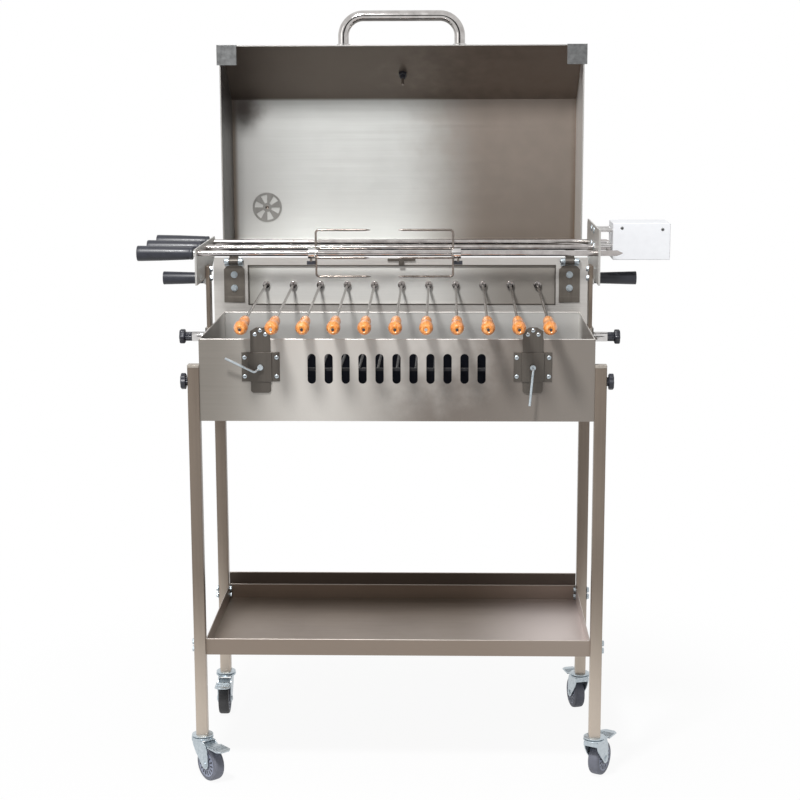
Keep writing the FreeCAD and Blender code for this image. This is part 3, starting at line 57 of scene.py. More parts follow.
# Camera: angles in degrees, with pitch downwards, yaw towards the left and roll about the view
cameraValues = {"place": (103.2, -3616.0, 1506.3), "pitch": 10.428, "yaw": 1.522, "roll": -0.177,
                "lens": 78.75, "sensor": 36, "farthest": 60}
camera = bpy.data.objects.new("camera", bpy.data.cameras.new("camera"))
scene.collection.objects.link(camera)
scene.camera = camera
pitch, yaw, roll = (math.radians(cameraValues[key]) for key in ("pitch", "yaw", "roll"))
forward = Vector((-math.sin(yaw) * math.cos(pitch), math.cos(yaw) * math.cos(pitch), -math.sin(pitch)))
level = Vector((math.cos(yaw), math.sin(yaw), 0))
sideways = level * math.cos(roll) + level.cross(forward) * math.sin(roll)
turn = Matrix((sideways, sideways.cross(forward), -forward)).transposed().to_4x4()
camera.matrix_world = Matrix.Translation(Vector(toFrame(cameraValues["place"]))) @ turn
camera.data.lens = cameraValues["lens"]
camera.data.sensor_width = cameraValues["sensor"]
camera.data.clip_end = cameraValues["farthest"]
print("stage: camera")


# A value in a shader, so that shader maths reads like plain maths
class Term:
    def __init__(self, tree, socket):
        self.tree, self.socket = tree, socket

    def plug(self, socket, value):
        if isinstance(value, Term):
            self.tree.links.new(value.socket, socket)
        elif socket.type == "RGBA" and len(value) == 3:
            socket.default_value = (*value, 1)
        else:
            socket.default_value = value

    def node(self, kind, output=0, inputs=None, **settings):
        made = self.tree.nodes.new(kind)
        for key, value in settings.items():
            setattr(made, key, value)
        for key, value in (inputs or {}).items():
            self.plug(made.inputs[key], value)
        return Term(self.tree, made.outputs[output])

    def maths(self, operation, *values):
        return self.node("ShaderNodeMath", inputs=dict(enumerate(values)), operation=operation)

    def __add__(self, other):
        return self.maths("ADD", self, other)

    def __sub__(self, other):
        return self.maths("SUBTRACT", self, other)

    def __rsub__(self, other):
        return self.maths("SUBTRACT", other, self)

    def __mul__(self, other):
        return self.maths("MULTIPLY", self, other)

    __radd__, __rmul__ = __add__, __mul__

    def clamp(self, low=0.0, high=1.0):
        return self.maths("MINIMUM", self.maths("MAXIMUM", self, low), high)

    def step(self, low, high):
        return self.node("ShaderNodeMapRange", inputs={"Value": self, "From Min": low, "From Max": high},
                         interpolation_type="SMOOTHSTEP")

    def noise(self, scale, detail=3.0, stretch=(1, 1, 1)):
        factors = tuple(scale * part for part in stretch)
        place = self.node("ShaderNodeVectorMath", inputs={0: self, 1: factors}, operation="MULTIPLY")
        return self.node("ShaderNodeTexNoise", inputs={"Vector": place, "Scale": 1.0, "Detail": detail})

    def mix(self, start, end):
        return self.node("ShaderNodeMix", output=2, inputs={0: self, 6: start, 7: end}, data_type="RGBA")

    def part(self, letter):
        return self.node("ShaderNodeSeparateXYZ", output="xyz".index(letter), inputs={0: self})


# A new material, its main shader and the place on the object, which all patterns start from
def newMaterial(name):
    material = bpy.data.materials.new(name)
    material.use_nodes = True
    shader = next(n for n in material.node_tree.nodes if n.type == "BSDF_PRINCIPLED")
    place = Term(material.node_tree, material.node_tree.nodes.new("ShaderNodeTexCoord").outputs["Object"])
    return material, shader, place


# Colour and roughness into the shader, with a normal bumped by height times distance, at half strength
def finish(shader, place, colour, roughness, height, distance, **constants):
    bump = place.node("ShaderNodeBump", inputs={"Height": height, "Distance": distance, "Strength": 0.5})
    for key, value in (("Base Color", colour), ("Roughness", roughness), ("Normal", bump)):
        place.plug(shader.inputs[key], value)
    for key, value in constants.items():
        shader.inputs[key.replace("_", " ")].default_value = value


# Noise is stretched along the grain by scaling the place down along it
grains = {"x": (0.015, 1, 1), "y": (1, 0.015, 1), "z": (1, 1, 0.015)}


# Share beyond any of the planes: for each, a step from 0 to 1 where the place along its direction passes its
# distance, added up and kept under 1
def beyond(place, planes):
    share = 0.0
    for direction, distance in planes:
        along = place.node("ShaderNodeVectorMath", output=1, inputs={0: place, 1: direction},
                           operation="DOT_PRODUCT")
        start = distance / 1000 + float(np.dot(direction, toFrame((0, 0, 0))))
        share = along.step(start, start + 0.0004) + share
    return share.clamp()


# What every sheet has unless its own values say otherwise
steelUsual = {"grain": "x", "hair": 0.16, "band": 0.3, "cloud": 0.6, "clouds": 5, "rough": 0.38,
              "metallic": 0.6, "bump": 0.00002, "outerDark": (0.27, 0.265, 0.255),
              "outerLight": (0.40, 0.395, 0.38), "sootTone": (0.006, 0.007, 0.012)}


# Brushed sheet: tone = 0.5 + hairs + bands + clouds, each its amount times (noise - 0.5). Over it come fades
# and spots of painted light and shade, the outer tone beyond the outside planes, and painted shade below a
# height within the walls
def steel(name, values):
    values = steelUsual | values
    material, shader, place = newMaterial(name)
    stretch = grains[values["grain"]]
    hair = place.noise(620, 2, stretch)
    band = place.noise(190, 3, stretch)
    cloud = place.noise(values["clouds"], 3)
    tone = (hair - 0.5) * values["hair"] + (band - 0.5) * values["band"]
    tone = tone + (cloud - 0.5) * values["cloud"] + 0.5
    colour = tone.clamp().mix(values["dark"], values["light"])
    for letter, low, high, shade, amount in values.get("fades", ()):
        low, high = (v / 1000 + toFrame((0, 0, 0))["xyz".index(letter)] for v in (low, high))
        colour = (place.part(letter).step(low, high) * amount).mix(colour, shade)
    # Painted highlights and shades: round spots of another tone with a ragged rim
    for spot, reach, shade, amount in values.get("paintedLightSpots", ()):
        away = place.node("ShaderNodeVectorMath", output=1, inputs={0: place, 1: tuple(toFrame(spot))},
                          operation="DISTANCE")
        edge = away + (place.noise(25, 3) - 0.5) * (reach / 1500)
        colour = ((1 - edge.step(0.0, reach / 1000)) * amount).mix(colour, shade)
    if "outside" in values:
        outer = tone.clamp().mix(values["outerDark"], values["outerLight"])
        colour = beyond(place, values["outside"]).mix(colour, outer)
    # Painted shade: inside the walls, the colour goes to the dark tone below the given heights
    if "soot" in values:
        low = 1 - place.part("z").step(*(v / 1000 for v in values["soot"]))
        inside = 1 - beyond(place, values["walls"])
        colour = (inside * low).mix(colour, values["sootTone"])
    rough = values["rough"] + (band - 0.5) * 0.1 + (place.noise(38, 4) - 0.5) * 0.08
    finish(shader, place, colour, rough.clamp(0.05, 0.9), band, values["bump"], Metallic=values["metallic"])
    return material


# What every plain material has unless its own values say otherwise
mottledUsual = {"scale": 60, "fine": 900, "contrast": 1.2, "rough": 0.4, "bump": 0.00015, "metallic": 0.0,
                "coat": 0.0}


# Plain material: tone = 0.5 + contrast times patches + 0.4 times a fine skin, each noise less a half
def mottled(name, values):
    values = mottledUsual | values
    material, shader, place = newMaterial(name)
    patch = place.noise(values["scale"], 4)
    fine = place.noise(values["fine"], 2)
    tone = ((patch - 0.5) * values["contrast"] + (fine - 0.5) * 0.4 + 0.5).clamp()
    rough = values["rough"] + (patch - 0.5) * 0.15
    finish(shader, place, tone.mix(values["dark"], values["light"]), rough.clamp(0.04, 0.95),
           fine + patch * 0.5, values["bump"], Metallic=values["metallic"], Coat_Weight=values["coat"],
           Coat_Roughness=0.12)
    return material


# Varnished wood: tone = 0.6 times rings + 0.5 times warp, then flecks and pale patches where noise is high
def wood(name, values):
    material, shader, place = newMaterial(name)
    warp = place.noise(22, 3, (1, 0.25, 1))
    ring = place.node("ShaderNodeTexWave", inputs={"Vector": place, "Scale": 46.0, "Distortion": 9.0,
                                                   "Detail": 3.0, "Detail Scale": 2.2}, bands_direction="X")
    fleck = place.noise(900, 3, (1, 0.08, 1)).step(0.58, 0.72)
    worn = place.noise(75, 3).step(0.56, 0.7)
    colour = (ring * 0.6 + warp * 0.5).clamp().mix(values["dark"], values["light"])
    colour = (fleck * 0.45).mix(colour, values["fleck"])
    colour = (worn * values["worn"]).mix(colour, values["pale"])
    finish(shader, place, colour, (0.3 + (warp - 0.5) * 0.3).clamp(0.1, 0.9), ring + fleck, 0.0002,
           Coat_Weight=0.6, Coat_Roughness=0.15)
    return material


# Fades, which paint light and shade, are axis, start, end, tone and amount; painted light spots centre, reach,
# tone and amount; planes direction and distance; painted shade the heights where it is full and where it stops
looks = {
    # Firebox: the fades and the spot are painted reflection and light (brightness varying across the front, a
    # bright glow under the rim, a pale inner back wall); the inside below the rim is painted shade
    "firebox": (steel, {"dark": (0.17, 0.155, 0.135), "light": (0.3, 0.275, 0.245), "soot": (892, 906),
        "metallic": 0.45,
        "walls": [((1, 0, 0), 413.8), ((-1, 0, 0), 413.8), ((0, 1, 0), 428.8), ((0, -1, 0), -1.0),
            ((0, 0, -1), -796.2)],
        "fades": [("x", -400, -165, (0.6, 0.575, 0.54), 0.9), ("x", -175, 100, (0.185, 0.16, 0.14), 1.0),
            ("x", 110, 400, (0.255, 0.23, 0.205), 0.7), ("y", 300, 420, (0.84, 0.83, 0.8), 0.85)],
        "paintedLightSpots": [((50, 0, 985), 210, (0.6, 0.58, 0.55), 0.75)]}),
    # Hood: the fades and the spot on the slope are painted reflection and shade (lighter low down, darker at
    # the far left and much darker to the right, shaded edges beside the side walls, a dark band along the
    # slope, a lighter patch on its right); the other spot is a small dark patch at the upper left of the back
    "hood": (steel, {"dark": (0.5, 0.505, 0.485), "light": (0.73, 0.735, 0.715),
        "fades": [("z", 1360, 1130, (0.7, 0.7, 0.68), 0.4), ("x", -240, -400, (0.42, 0.41, 0.395), 0.6),
            ("x", -30, 210, (0.205, 0.17, 0.142), 0.95), ("x", 404, 416, (0.12, 0.08, 0.05), 0.6),
            ("x", -404, -416, (0.17, 0.12, 0.08), 0.75), ("z", 1450, 1460, (0.125, 0.1, 0.083), 1.0)],
        "paintedLightSpots": [((-392, 701, 1440), 75, (0.09, 0.07, 0.06), 0.9),
            ((330, 590, 1518), 420, (0.29, 0.24, 0.205), 0.8)],
        "outside": [((0, 1, 0), 700.5), ((0, 0.56402, 0.82577), 1596.9), ((0, 0, 1), 1579.8),
            ((0, 0, -1), -1117.2)]}),
    # Hood sides: painted shade on the left wall and painted light on the right wall, two tones of one steel
    "side": (steel, {"dark": (0.42, 0.41, 0.395), "light": (0.64, 0.63, 0.615), "grain": "z",
        "fades": [("x", -200, -210, (0.05, 0.046, 0.045), 0.92), ("x", 200, 210, (0.74, 0.73, 0.71), 0.85)],
        "outside": [((1, 0, 0), 419.8), ((-1, 0, 0), 419.8)]}),
    "panel": (steel, {"dark": (0.46, 0.43, 0.4), "light": (0.82, 0.8, 0.77)}),
    # Gearbox plate: painted shade, darker towards the right and at the far left
    "plate": (steel, {"dark": (0.74, 0.725, 0.69), "light": (0.96, 0.955, 0.92), "metallic": 0.35,
        "fades": [("x", 20, 260, (0.26, 0.23, 0.2), 0.85), ("x", -300, -350, (0.38, 0.365, 0.33), 0.8)]}),
    # Legs: painted light, lighter towards the floor
    "leg": (steel, {"dark": (0.125, 0.098, 0.077), "light": (0.285, 0.235, 0.19), "grain": "z", "cloud": 0.5,
        "fades": [("z", 480, 120, (0.6, 0.52, 0.44), 0.85)]}),
    # Shelf: the fades are painted light and shade: a pale reflection to the right, another tone at the far
    # left, and the rear face, the front rim and the upright walls each in their own light or shade
    "shelf": (steel, {"dark": (0.165, 0.13, 0.105), "light": (0.35, 0.29, 0.245), "cloud": 0.7, "band": 0.55,
        "hair": 0.3,
        "fades": [("x", 120, 380, (0.68, 0.6, 0.57), 0.9), ("x", -240, -400, (0.3, 0.25, 0.21), 0.6),
            ("y", 420.5, 421.3, (0.19, 0.14, 0.105), 0.8), ("y", 5, 4.4, (0.26, 0.21, 0.17), 0.9),
            ("z", 314.4, 315.4, (0.04, 0.031, 0.025), 0.85)]}),
    "case": (steel, {"dark": (0.22, 0.195, 0.17), "light": (0.42, 0.385, 0.345)}),
    "grate": (steel, {"dark": (0.006, 0.006, 0.008), "light": (0.028, 0.028, 0.032), "grain": "y",
        "rough": 0.5, "metallic": 0.3}),
    "dull": (steel, {"dark": (0.06, 0.053, 0.046), "light": (0.15, 0.133, 0.115), "grain": "z",
        "rough": 0.42}),
    "hinge": (steel, {"dark": (0.09, 0.078, 0.066), "light": (0.24, 0.215, 0.185), "grain": "z", "clouds": 60,
        "rough": 0.4}),
    "hem": (steel, {"dark": (0.4, 0.35, 0.31), "light": (0.6, 0.54, 0.49)}),
    "end": (steel, {"dark": (0.34, 0.33, 0.31), "light": (0.6, 0.59, 0.57), "grain": "z"}),
    "vent": (steel, {"dark": (0.2, 0.195, 0.185), "light": (0.42, 0.41, 0.39), "grain": "z",
        "metallic": 0.9}),
    "chrome": (mottled, {"dark": (0.46, 0.44, 0.43), "light": (0.74, 0.73, 0.72), "metallic": 1.0,
        "rough": 0.12, "bump": 0.00002}),
    # Hood handle: chrome in darker tones, a painted reflection
    "handle": (mottled, {"dark": (0.32, 0.3, 0.29), "light": (0.66, 0.64, 0.62), "metallic": 1.0,
        "rough": 0.1, "bump": 0.00002}),
    "wire": (mottled, {"dark": (0.1, 0.082, 0.07), "light": (0.34, 0.295, 0.265), "metallic": 1.0,
        "rough": 0.2, "bump": 0.00004}),
    "rod": (mottled, {"dark": (0.3, 0.275, 0.265), "light": (0.56, 0.53, 0.515), "metallic": 1.0,
        "rough": 0.16, "bump": 0.00001}),
    "zinc": (mottled, {"dark": (0.36, 0.42, 0.46), "light": (0.66, 0.72, 0.76), "metallic": 0.8, "rough": 0.3,
        "scale": 150}),
    "galvanised": (mottled, {"dark": (0.12, 0.122, 0.122), "light": (0.23, 0.235, 0.235), "metallic": 0.7,
        "rough": 0.36, "scale": 110, "fine": 500}),
    "cap": (mottled, {"dark": (0.27, 0.24, 0.205), "light": (0.44, 0.4, 0.35), "metallic": 0.2,
        "rough": 0.45}),
    "dark": (mottled, {"dark": (0.012, 0.012, 0.014), "light": (0.04, 0.04, 0.045), "rough": 0.6}),
    "black": (mottled, {"dark": (0.008, 0.009, 0.014), "light": (0.022, 0.024, 0.036), "rough": 0.42,
        "coat": 0.12}),
    "white": (mottled, {"dark": (0.75, 0.76, 0.785), "light": (0.82, 0.83, 0.855), "rough": 0.45}),
    "tyre": (mottled, {"dark": (0.12, 0.125, 0.155), "light": (0.205, 0.215, 0.26), "rough": 0.6}),
    # The same tyre in painted shade
    "shadedTyre": (mottled, {"dark": (0.03, 0.03, 0.032), "light": (0.06, 0.06, 0.063), "rough": 0.6}),
    "hub": (mottled, {"dark": (0.25, 0.275, 0.37), "light": (0.38, 0.41, 0.51), "rough": 0.5}),
    "wood": (wood, {"dark": (0.52, 0.14, 0.016), "light": (0.9, 0.34, 0.055), "fleck": (0.28, 0.07, 0.01),
        "pale": (0.95, 0.62, 0.3), "worn": 0.45}),
}
materials = {name: kind(name, values) for name, (kind, values) in looks.items()}
print("stage: materials")


# The vector divided by its length
def unit(vector):
    vector = np.asarray(vector, float)
    return vector / np.linalg.norm(vector)


# Faces over rows of points: each with the next one round and both in the row after, ends closed
def rings(points):
    rows, count = points.shape[:2]
    low = (np.arange(rows - 1) * count)[:, None]
    here, after = np.arange(count), (np.arange(count) + 1) % count
    quads = np.stack([low + here, low + after, low + count + after, low + count + here], axis=-1)
    faces = quads.reshape(-1, 4).tolist()
    faces.append(list(range(count))[::-1])
    faces.append(list(range((rows - 1) * count, rows * count)))
    return points.reshape(-1, 3), faces


# A turned form from pairs of distance along the axis and radius: point = start + distance along the axis +
# radius times (1 + depth times the cosine of lobes times the angle) outwards
def lathe(profile, start, direction, segments=40, lobes=0, depth=0.0):
    profile = np.maximum(np.asarray(profile, float), [-1e9, 0.03])
    direction = unit(direction)
    across = unit(np.cross(direction, (0, 0, 1) if abs(direction[2]) < 0.9 else (1, 0, 0)))
    angles = np.linspace(0, math.tau, segments, endpoint=False)
    ring = np.outer(np.cos(angles), across) + np.outer(np.sin(angles), np.cross(direction, across))
    radius = profile[:, 1, None] * (1 + depth * np.cos(lobes * angles))
    points = np.asarray(start, float) + profile[:, 0, None, None] * direction + radius[..., None] * ring
    return rings(points)


# A straight round bar: the turned form of one radius
def bar(start, direction, length, radius, segments=12):
    return lathe([(0, radius), (length, radius)], start, direction, segments)


# A round bar along a flat path: point = path + radius times (cosine sideways + sine along the normal)
def sweep(path, radius, normal, segments=16):
    path = np.asarray(path, float)
    tangent = np.gradient(path, axis=0)
    tangent /= np.linalg.norm(tangent, axis=1)[:, None]
    side = np.cross(tangent, unit(normal))
    angles = np.linspace(0, math.tau, segments, endpoint=False)
    radius = np.broadcast_to(radius, len(path))[:, None, None]
    ring = np.cos(angles)[None, :, None] * side[:, None] + np.sin(angles)[None, :, None] * unit(normal)
    return rings(path[:, None] + radius * ring)


# Corner points joined by arcs: each starts radius / tangent of half the corner's angle before it, round a
# centre radius / sine of that half along the middle line
def bend(corners, radii, steps=9):
    corners = [np.asarray(c, float) for c in corners]
    path = [corners[0]]
    shares = np.linspace(0, 1, steps)[:, None]
    for before, corner, after, radius in zip(corners, corners[1:], corners[2:], radii):
        back, ahead = unit(before - corner), unit(after - corner)
        half = math.acos(np.clip(back @ ahead, -1, 1)) / 2
        centre = corner + unit(back + ahead) * radius / math.sin(half)
        enter, leave = corner + back * radius / math.tan(half), corner + ahead * radius / math.tan(half)
        spokes = (enter - centre) * (1 - shares) + (leave - centre) * shares
        path.append(centre + radius * spokes / np.linalg.norm(spokes, axis=1)[:, None])
    return np.vstack([*path, corners[-1]])


# Boxes between two corners: point = low corner + 0 or 1 times the size, on each axis
def boxes(*items):
    items = np.asarray(items, float)
    corner = np.array([[x, y, z] for x in (0, 1) for y in (0, 1) for z in (0, 1)])
    points = items[:, None, :3] + corner * (items[:, None, 3:] - items[:, None, :3])
    quads = np.array([[0, 1, 3, 2], [4, 6, 7, 5], [0, 4, 5, 1], [2, 3, 7, 6], [0, 2, 6, 4], [1, 5, 7, 3]])
    faces = (quads + 8 * np.arange(len(items))[:, None, None]).reshape(-1, 4)
    return points.reshape(-1, 3), faces.tolist()


# An outline pushed out along x, y or z: its points at the low value, then again at the high one
def prism(outline, axis, low, high):
    outline = np.asarray(outline, float)
    place = "xyz".index(axis)
    rows = np.stack([np.insert(outline, place, value, axis=1) for value in (low, high)])
    return rings(rows)


# Forms put in one: the numbers in each one's faces rise by the points before it
def joined(*forms):
    points, faces, start = [], [], 0
    for some, more in forms:
        points.append(np.asarray(some, float))
        faces += [[start + index for index in face] for face in more]
        start += len(some)
    return np.concatenate(points), faces


# Point = centre + the turned way from the centre to the point
def turned(form, centre, axis, degrees):
    matrix = np.array(Matrix.Rotation(math.radians(degrees), 3, axis.upper()))
    return (np.asarray(form[0], float) - centre) @ matrix.T + centre, form[1]


# Point = point + offset
def moved(form, offset):
    return np.asarray(form[0], float) + offset, form[1]


# Point with its x times -1, and its faces listed the other way round
def mirrored(form):
    return np.asarray(form[0], float) * (-1, 1, 1), [face[::-1] for face in form[1]]


# Radii between the keys at even distances, each the mean of as many neighbours as the width
def smoothRow(keys, count, width):
    keys = np.asarray(keys, float)
    along = np.linspace(keys[0, 0], keys[-1, 0], count)
    radius = np.interp(along, keys[:, 0], keys[:, 1])
    padded = np.pad(radius, width // 2, mode="edge")
    return np.column_stack([along, np.convolve(padded, np.ones(width) / width, mode="valid")])


# Profile with rounded ends: distance = edge times (1 - cosine), radius = end radius - edge times (1 - sine)
def roundedEnds(length, start, end, edge, steps=5):
    angles = np.linspace(0, math.pi / 2, steps)
    along, drop = edge * (1 - np.cos(angles)), edge * (1 - np.sin(angles))
    first, last = np.column_stack([along, start - drop]), np.column_stack([length - along, end - drop])
    return np.vstack([first, last[::-1]]).tolist()


# A form as an object on its body; edges sharper than the smooth angle stay sharp, a bevel is in millimetres
def add(name, form, material, body, replaced=(), bevel=None, smooth=35):
    mesh = bpy.data.meshes.new(name)
    mesh.from_pydata(toFrame(form[0]).tolist(), [], form[1])
    work = bmesh.new()
    work.from_mesh(mesh)
    bmesh.ops.recalc_face_normals(work, faces=work.faces)
    work.to_mesh(mesh)
    work.free()
    mesh.shade_smooth()
    mesh.set_sharp_from_angle(angle=math.radians(smooth))
    mesh.materials.append(materials[material])
    made = bpy.data.objects.new(name, mesh)
    scene.collection.objects.link(made)
    if bevel:
        edge = made.modifiers.new("edge", "BEVEL")
        edge.width, edge.segments, edge.limit_method = bevel / 1000, 2, "ANGLE"
        edge.angle_limit = math.radians(30)
        edge.harden_normals = True
    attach(made, body)
    if replaced:
        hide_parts(*replaced)
    return made


# A piece of the model keeps its shape and gets one of the materials above
def paint(material, *names):
    for name in names:
        nodes[name].data.materials.clear()
        nodes[name].data.materials.append(materials[material])


# A six-sided head on its washer; the head's top 15 percent narrows to 0.88 of the radius
def hexBolt(place, direction, radius=6.5, height=5.2, washer=7.9):
    direction = unit(direction)
    disc = lathe([(0, washer), (0.9, washer)], place, direction)
    head = lathe([(0.9, radius), (height * 0.85, radius), (height, radius * 0.88)], place, direction, 6)
    return joined(disc, head)


# Domed heads as wide as the size says, with a dark slot 0.72 of it to each side
def screws(name, places, body, size=4.4):
    dome = [(0, size), (0.7, size), (1.5, size * 0.8), (2.0, size * 0.45), (2.1, 0.03)]
    add(name, joined(*[lathe(dome, p, (0, -1, 0), 24) for p in places]), "zinc", body)
    cuts = boxes(*[(x - size * 0.72, y - 2.3, z - 0.55, x + size * 0.72, y - 1.2, z + 0.55)
                   for x, y, z in places])
    add(name + "Slots", cuts, "dark", body)


right, back, up = np.eye(3)
sides = (("left", -1), ("right", 1))

# Legs with their caps, the front legs' clamp knobs and the rear legs' bolts
leg = {"x": 427.5, "frontY": 7.5, "rearY": 422.5, "half": 12.5, "round": 2.5, "low": 97, "high": 909,
       "capTop": 915, "topBoltZ": 879, "knobNeck": 4, "shelfSide": 413.5, "shelfBoltZ": (289.2, 305.3),
       "shelfBoltY": {7.5: 12, 422.5: 414.6}}
knobRow = [(0, 15), (1.2, 16.4), (9, 16.4), (10.6, 15), (10.8, 6)]
legs, caps, knobs, bolts = [], [], [], []
quarter = np.linspace(0, math.pi / 2, 5)
corner = np.column_stack([np.cos(quarter), np.sin(quarter)]) * leg["round"] + leg["half"] - leg["round"]
square = np.concatenate([corner @ np.array([[c, s], [-s, c]]) for c, s in ((1, 0), (0, 1), (-1, 0), (0, -1))])
for side in (-1, 1):
    outer = side * (leg["x"] + leg["half"])
    for y in (leg["frontY"], leg["rearY"]):
        section = square + (side * leg["x"], y)
        legs.append(prism(section, "z", leg["low"], leg["high"]))
        caps.append(prism(section, "z", leg["high"], leg["capTop"]))
        top = np.array([outer, y, leg["topBoltZ"]])
        if y == leg["rearY"]:
            bolts.append(hexBolt(top, side * right))
        else:
            neck = side * leg["knobNeck"] * right
            knobs.append(lathe(roundedEnds(leg["knobNeck"], 9, 9, 0.8), top, side * right, 48, 16, 0.06))
            knobs.append(lathe(knobRow, top + neck, side * right, 96, 8, 0.05))
        for z in leg["shelfBoltZ"]:
            boltY = leg["shelfBoltY"][y]
            bolts.append(hexBolt((outer, boltY, z), side * right))
            bolts.append(hexBolt((side * leg["shelfSide"], boltY, z), -side * right))
add("legTubes", joined(*legs), "leg", "stand", ["legs"])
add("legCaps", joined(*caps), "cap", "stand", ["leg_caps"], bevel=0.8)
add("legKnobs", joined(*knobs), "black", "stand", ["leg_knobs"])

# Bolts of the hinge plates, in one piece with those of the legs and shelf
hinge = {"x": 389, "half": 24, "neck": 15, "low": 993, "shoulder": 1070, "high": 1079, "front": 427,
         "sheet": 3, "panelBack": 432, "boltZ": (1057.5, 1026.5), "pinY": 421.7, "pinZ": 1089, "pinHalf": 23,
         "pinRadius": 3, "barrelStarts": (-21, 10.8), "barrelLength": 10.2, "barrelRadius": 8}
for side in (-1, 1):
    for z in hinge["boltZ"]:
        bolts.append(hexBolt((side * hinge["x"], hinge["front"], z), -back))
        bolts.append(hexBolt((side * hinge["x"], hinge["panelBack"], z), back))
add("frameBolts", joined(*bolts), "zinc", "stand", ["frame_fasteners"])

# Sheet pieces kept from the model
for material, names in {"firebox": ["firebox"], "shelf": ["shelf"], "panel": ["back_panel"],
                        "plate": ["gearbox_plate"], "case": ["gearbox_case"], "grate": ["charcoal_grate"],
                        "dull": ["drive_chain", "hood_hinge_leaves"], "hood": ["hood_shell"],
                        "side": ["hood_sides"], "end": ["end_plates"], "vent": ["vent_disc"],
                        "wire": ["meat_fork_left", "meat_fork_right"]}.items():
    paint(material, *names)

# Rolled hems on the free edges of the firebox, the shelf and the hood; the firebox's and the shelf's are drawn
# in paler steel, a painted highlight along the edge
fireboxEdge = {"radius": 1.3, "length": 830, "depth": 430, "z": 969, "inset": 1.4}
length, depth, z, inset, radius = (fireboxEdge[k] for k in ("length", "depth", "z", "inset", "radius"))
hem = [bar((-length / 2, y, z), right, length, radius) for y in (inset, depth - inset)]
hem += [bar((x, 0, z), back, depth, radius) for x in (inset - length / 2, length / 2 - inset)]
add("fireboxHem", joined(*hem), "panel", "stand")
shelfEdge = {"radius": 1.1, "length": 826, "front": (4.8, 313), "step": (420.9, 313.6), "stepRadius": 1.3,
             "rear": (421.9, 343), "sideX": 414, "sideY": 5, "depth": 417}
length, radius = shelfEdge["length"], shelfEdge["radius"]
hem = [bar((-length / 2, *shelfEdge[key]), right, length, size)
       for key, size in (("front", radius), ("step", shelfEdge["stepRadius"]), ("rear", radius))]
hem += [bar((side * shelfEdge["sideX"], shelfEdge["sideY"], shelfEdge["front"][1]), back, shelfEdge["depth"],
            radius) for side in (-1, 1)]
add("shelfHem", joined(*hem), "hem", "stand")
hoodEdge = {"radius": 1.4, "x": 419.6, "y": 488, "low": 1116.6, "rise": 464, "half": 420,
            "rails": (1117.4, 1579.6)}
hem = [bar((side * hoodEdge["x"], hoodEdge["y"], hoodEdge["low"]), up, hoodEdge["rise"], hoodEdge["radius"])
       for side in (-1, 1)]
hem += [bar((-hoodEdge["half"], hoodEdge["y"], z), right, 2 * hoodEdge["half"], hoodEdge["radius"])
        for z in hoodEdge["rails"]]
add("hoodHem", joined(*hem), "end", "hood")

# Hinges: pressed plates with rolled barrels round a pin
hinges, barrels, pins = [], [], []
for side in (-1, 1):
    x, half, neck, front, low = side * hinge["x"], hinge["half"], hinge["neck"], hinge["front"], hinge["low"]
    outline = [(x - half, low), (x + half, low), (x + half, hinge["shoulder"]),
               (x + neck, hinge["high"]), (x - neck, hinge["high"]), (x - half, hinge["shoulder"])]
    hinges.append(prism(outline, "y", front, front + hinge["sheet"]))
    hinges.append(boxes((x - half + 2, front - 0.6, low + 1, x + half - 2, front + 0.2, low + 13)))
    for start in hinge["barrelStarts"]:
        barrel = roundedEnds(hinge["barrelLength"], hinge["barrelRadius"], hinge["barrelRadius"], 0.8)
        barrels.append(lathe(barrel, (x + start, hinge["pinY"], hinge["pinZ"]), right))
        barrels.append(boxes((x + start, front, hinge["high"] - 1, x + start + hinge["barrelLength"],
                              front + hinge["sheet"], hinge["pinZ"])))
    pin = roundedEnds(2 * hinge["pinHalf"], hinge["pinRadius"], hinge["pinRadius"], 1)
    pins.append(lathe(pin, (x - hinge["pinHalf"], hinge["pinY"], hinge["pinZ"]), right, 20))
add("hingePlates", joined(*hinges), "hinge", "stand", ["hinge_plates"], bevel=0.5)
add("hingeBarrels", joined(*barrels), "zinc", "stand")
add("hingePins", joined(*pins), "dark", "stand")

# Dark strips of painted shadow along the window's edges, and the small latch above it
window = {"half": 357, "jamb": (355, 357.5), "low": 987, "sill": (986.8, 989.4), "lintel": (1077.6, 1080),
          "front": 429, "back": 430}
windowShadowStrips = [(-window["half"], window["front"], low, window["half"], window["back"], high)
         for low, high in (window["lintel"], window["sill"])]
for side in (-1, 1):
    near, far = sorted(side * edge for edge in window["jamb"])
    windowShadowStrips.append((near, window["front"], window["low"], far, window["back"], window["lintel"][1]))
add("windowEdgeShadow", boxes(*windowShadowStrips), "dull", "stand")
hanger = boxes((-32, 425.5, 1089, 32, 430, 1095), (-6, 420, 1080, 6, 430, 1090))
add("panelLatch", hanger, "dull", "stand", bevel=0.6)

# Omega clamp plates on the firebox front
clamp = {"x": 285, "low": 880, "high": 942, "half": 40, "channel": 23.3, "sheet": 2, "depth": 5.6,
         "screwX": 33.5, "screwZ": (891, 931)}
plates, spots = [], []
low, high, sheet, outer = clamp["low"], clamp["high"], clamp["sheet"], clamp["channel"]
inner, face = outer - sheet, sheet - clamp["depth"]
for side in (-1, 1):
    x = side * clamp["x"]
    plates.append(boxes((x - outer, -clamp["depth"], low, x + outer, face, high),
                        (x - clamp["half"], -sheet, low, x - inner, 0, high),
                        (x + inner, -sheet, low, x + clamp["half"], 0, high),
                        (x - outer, face, low, x - inner, 0, high),
                        (x + inner, face, low, x + outer, 0, high)))
    spots += [(x + across * clamp["screwX"], -sheet, z) for across in (-1, 1) for z in clamp["screwZ"]]
add("clampPlates", joined(*plates), "dull", "stand", ["clamp_plates"], bevel=0.5)
screws("clampScrews", spots, "stand")

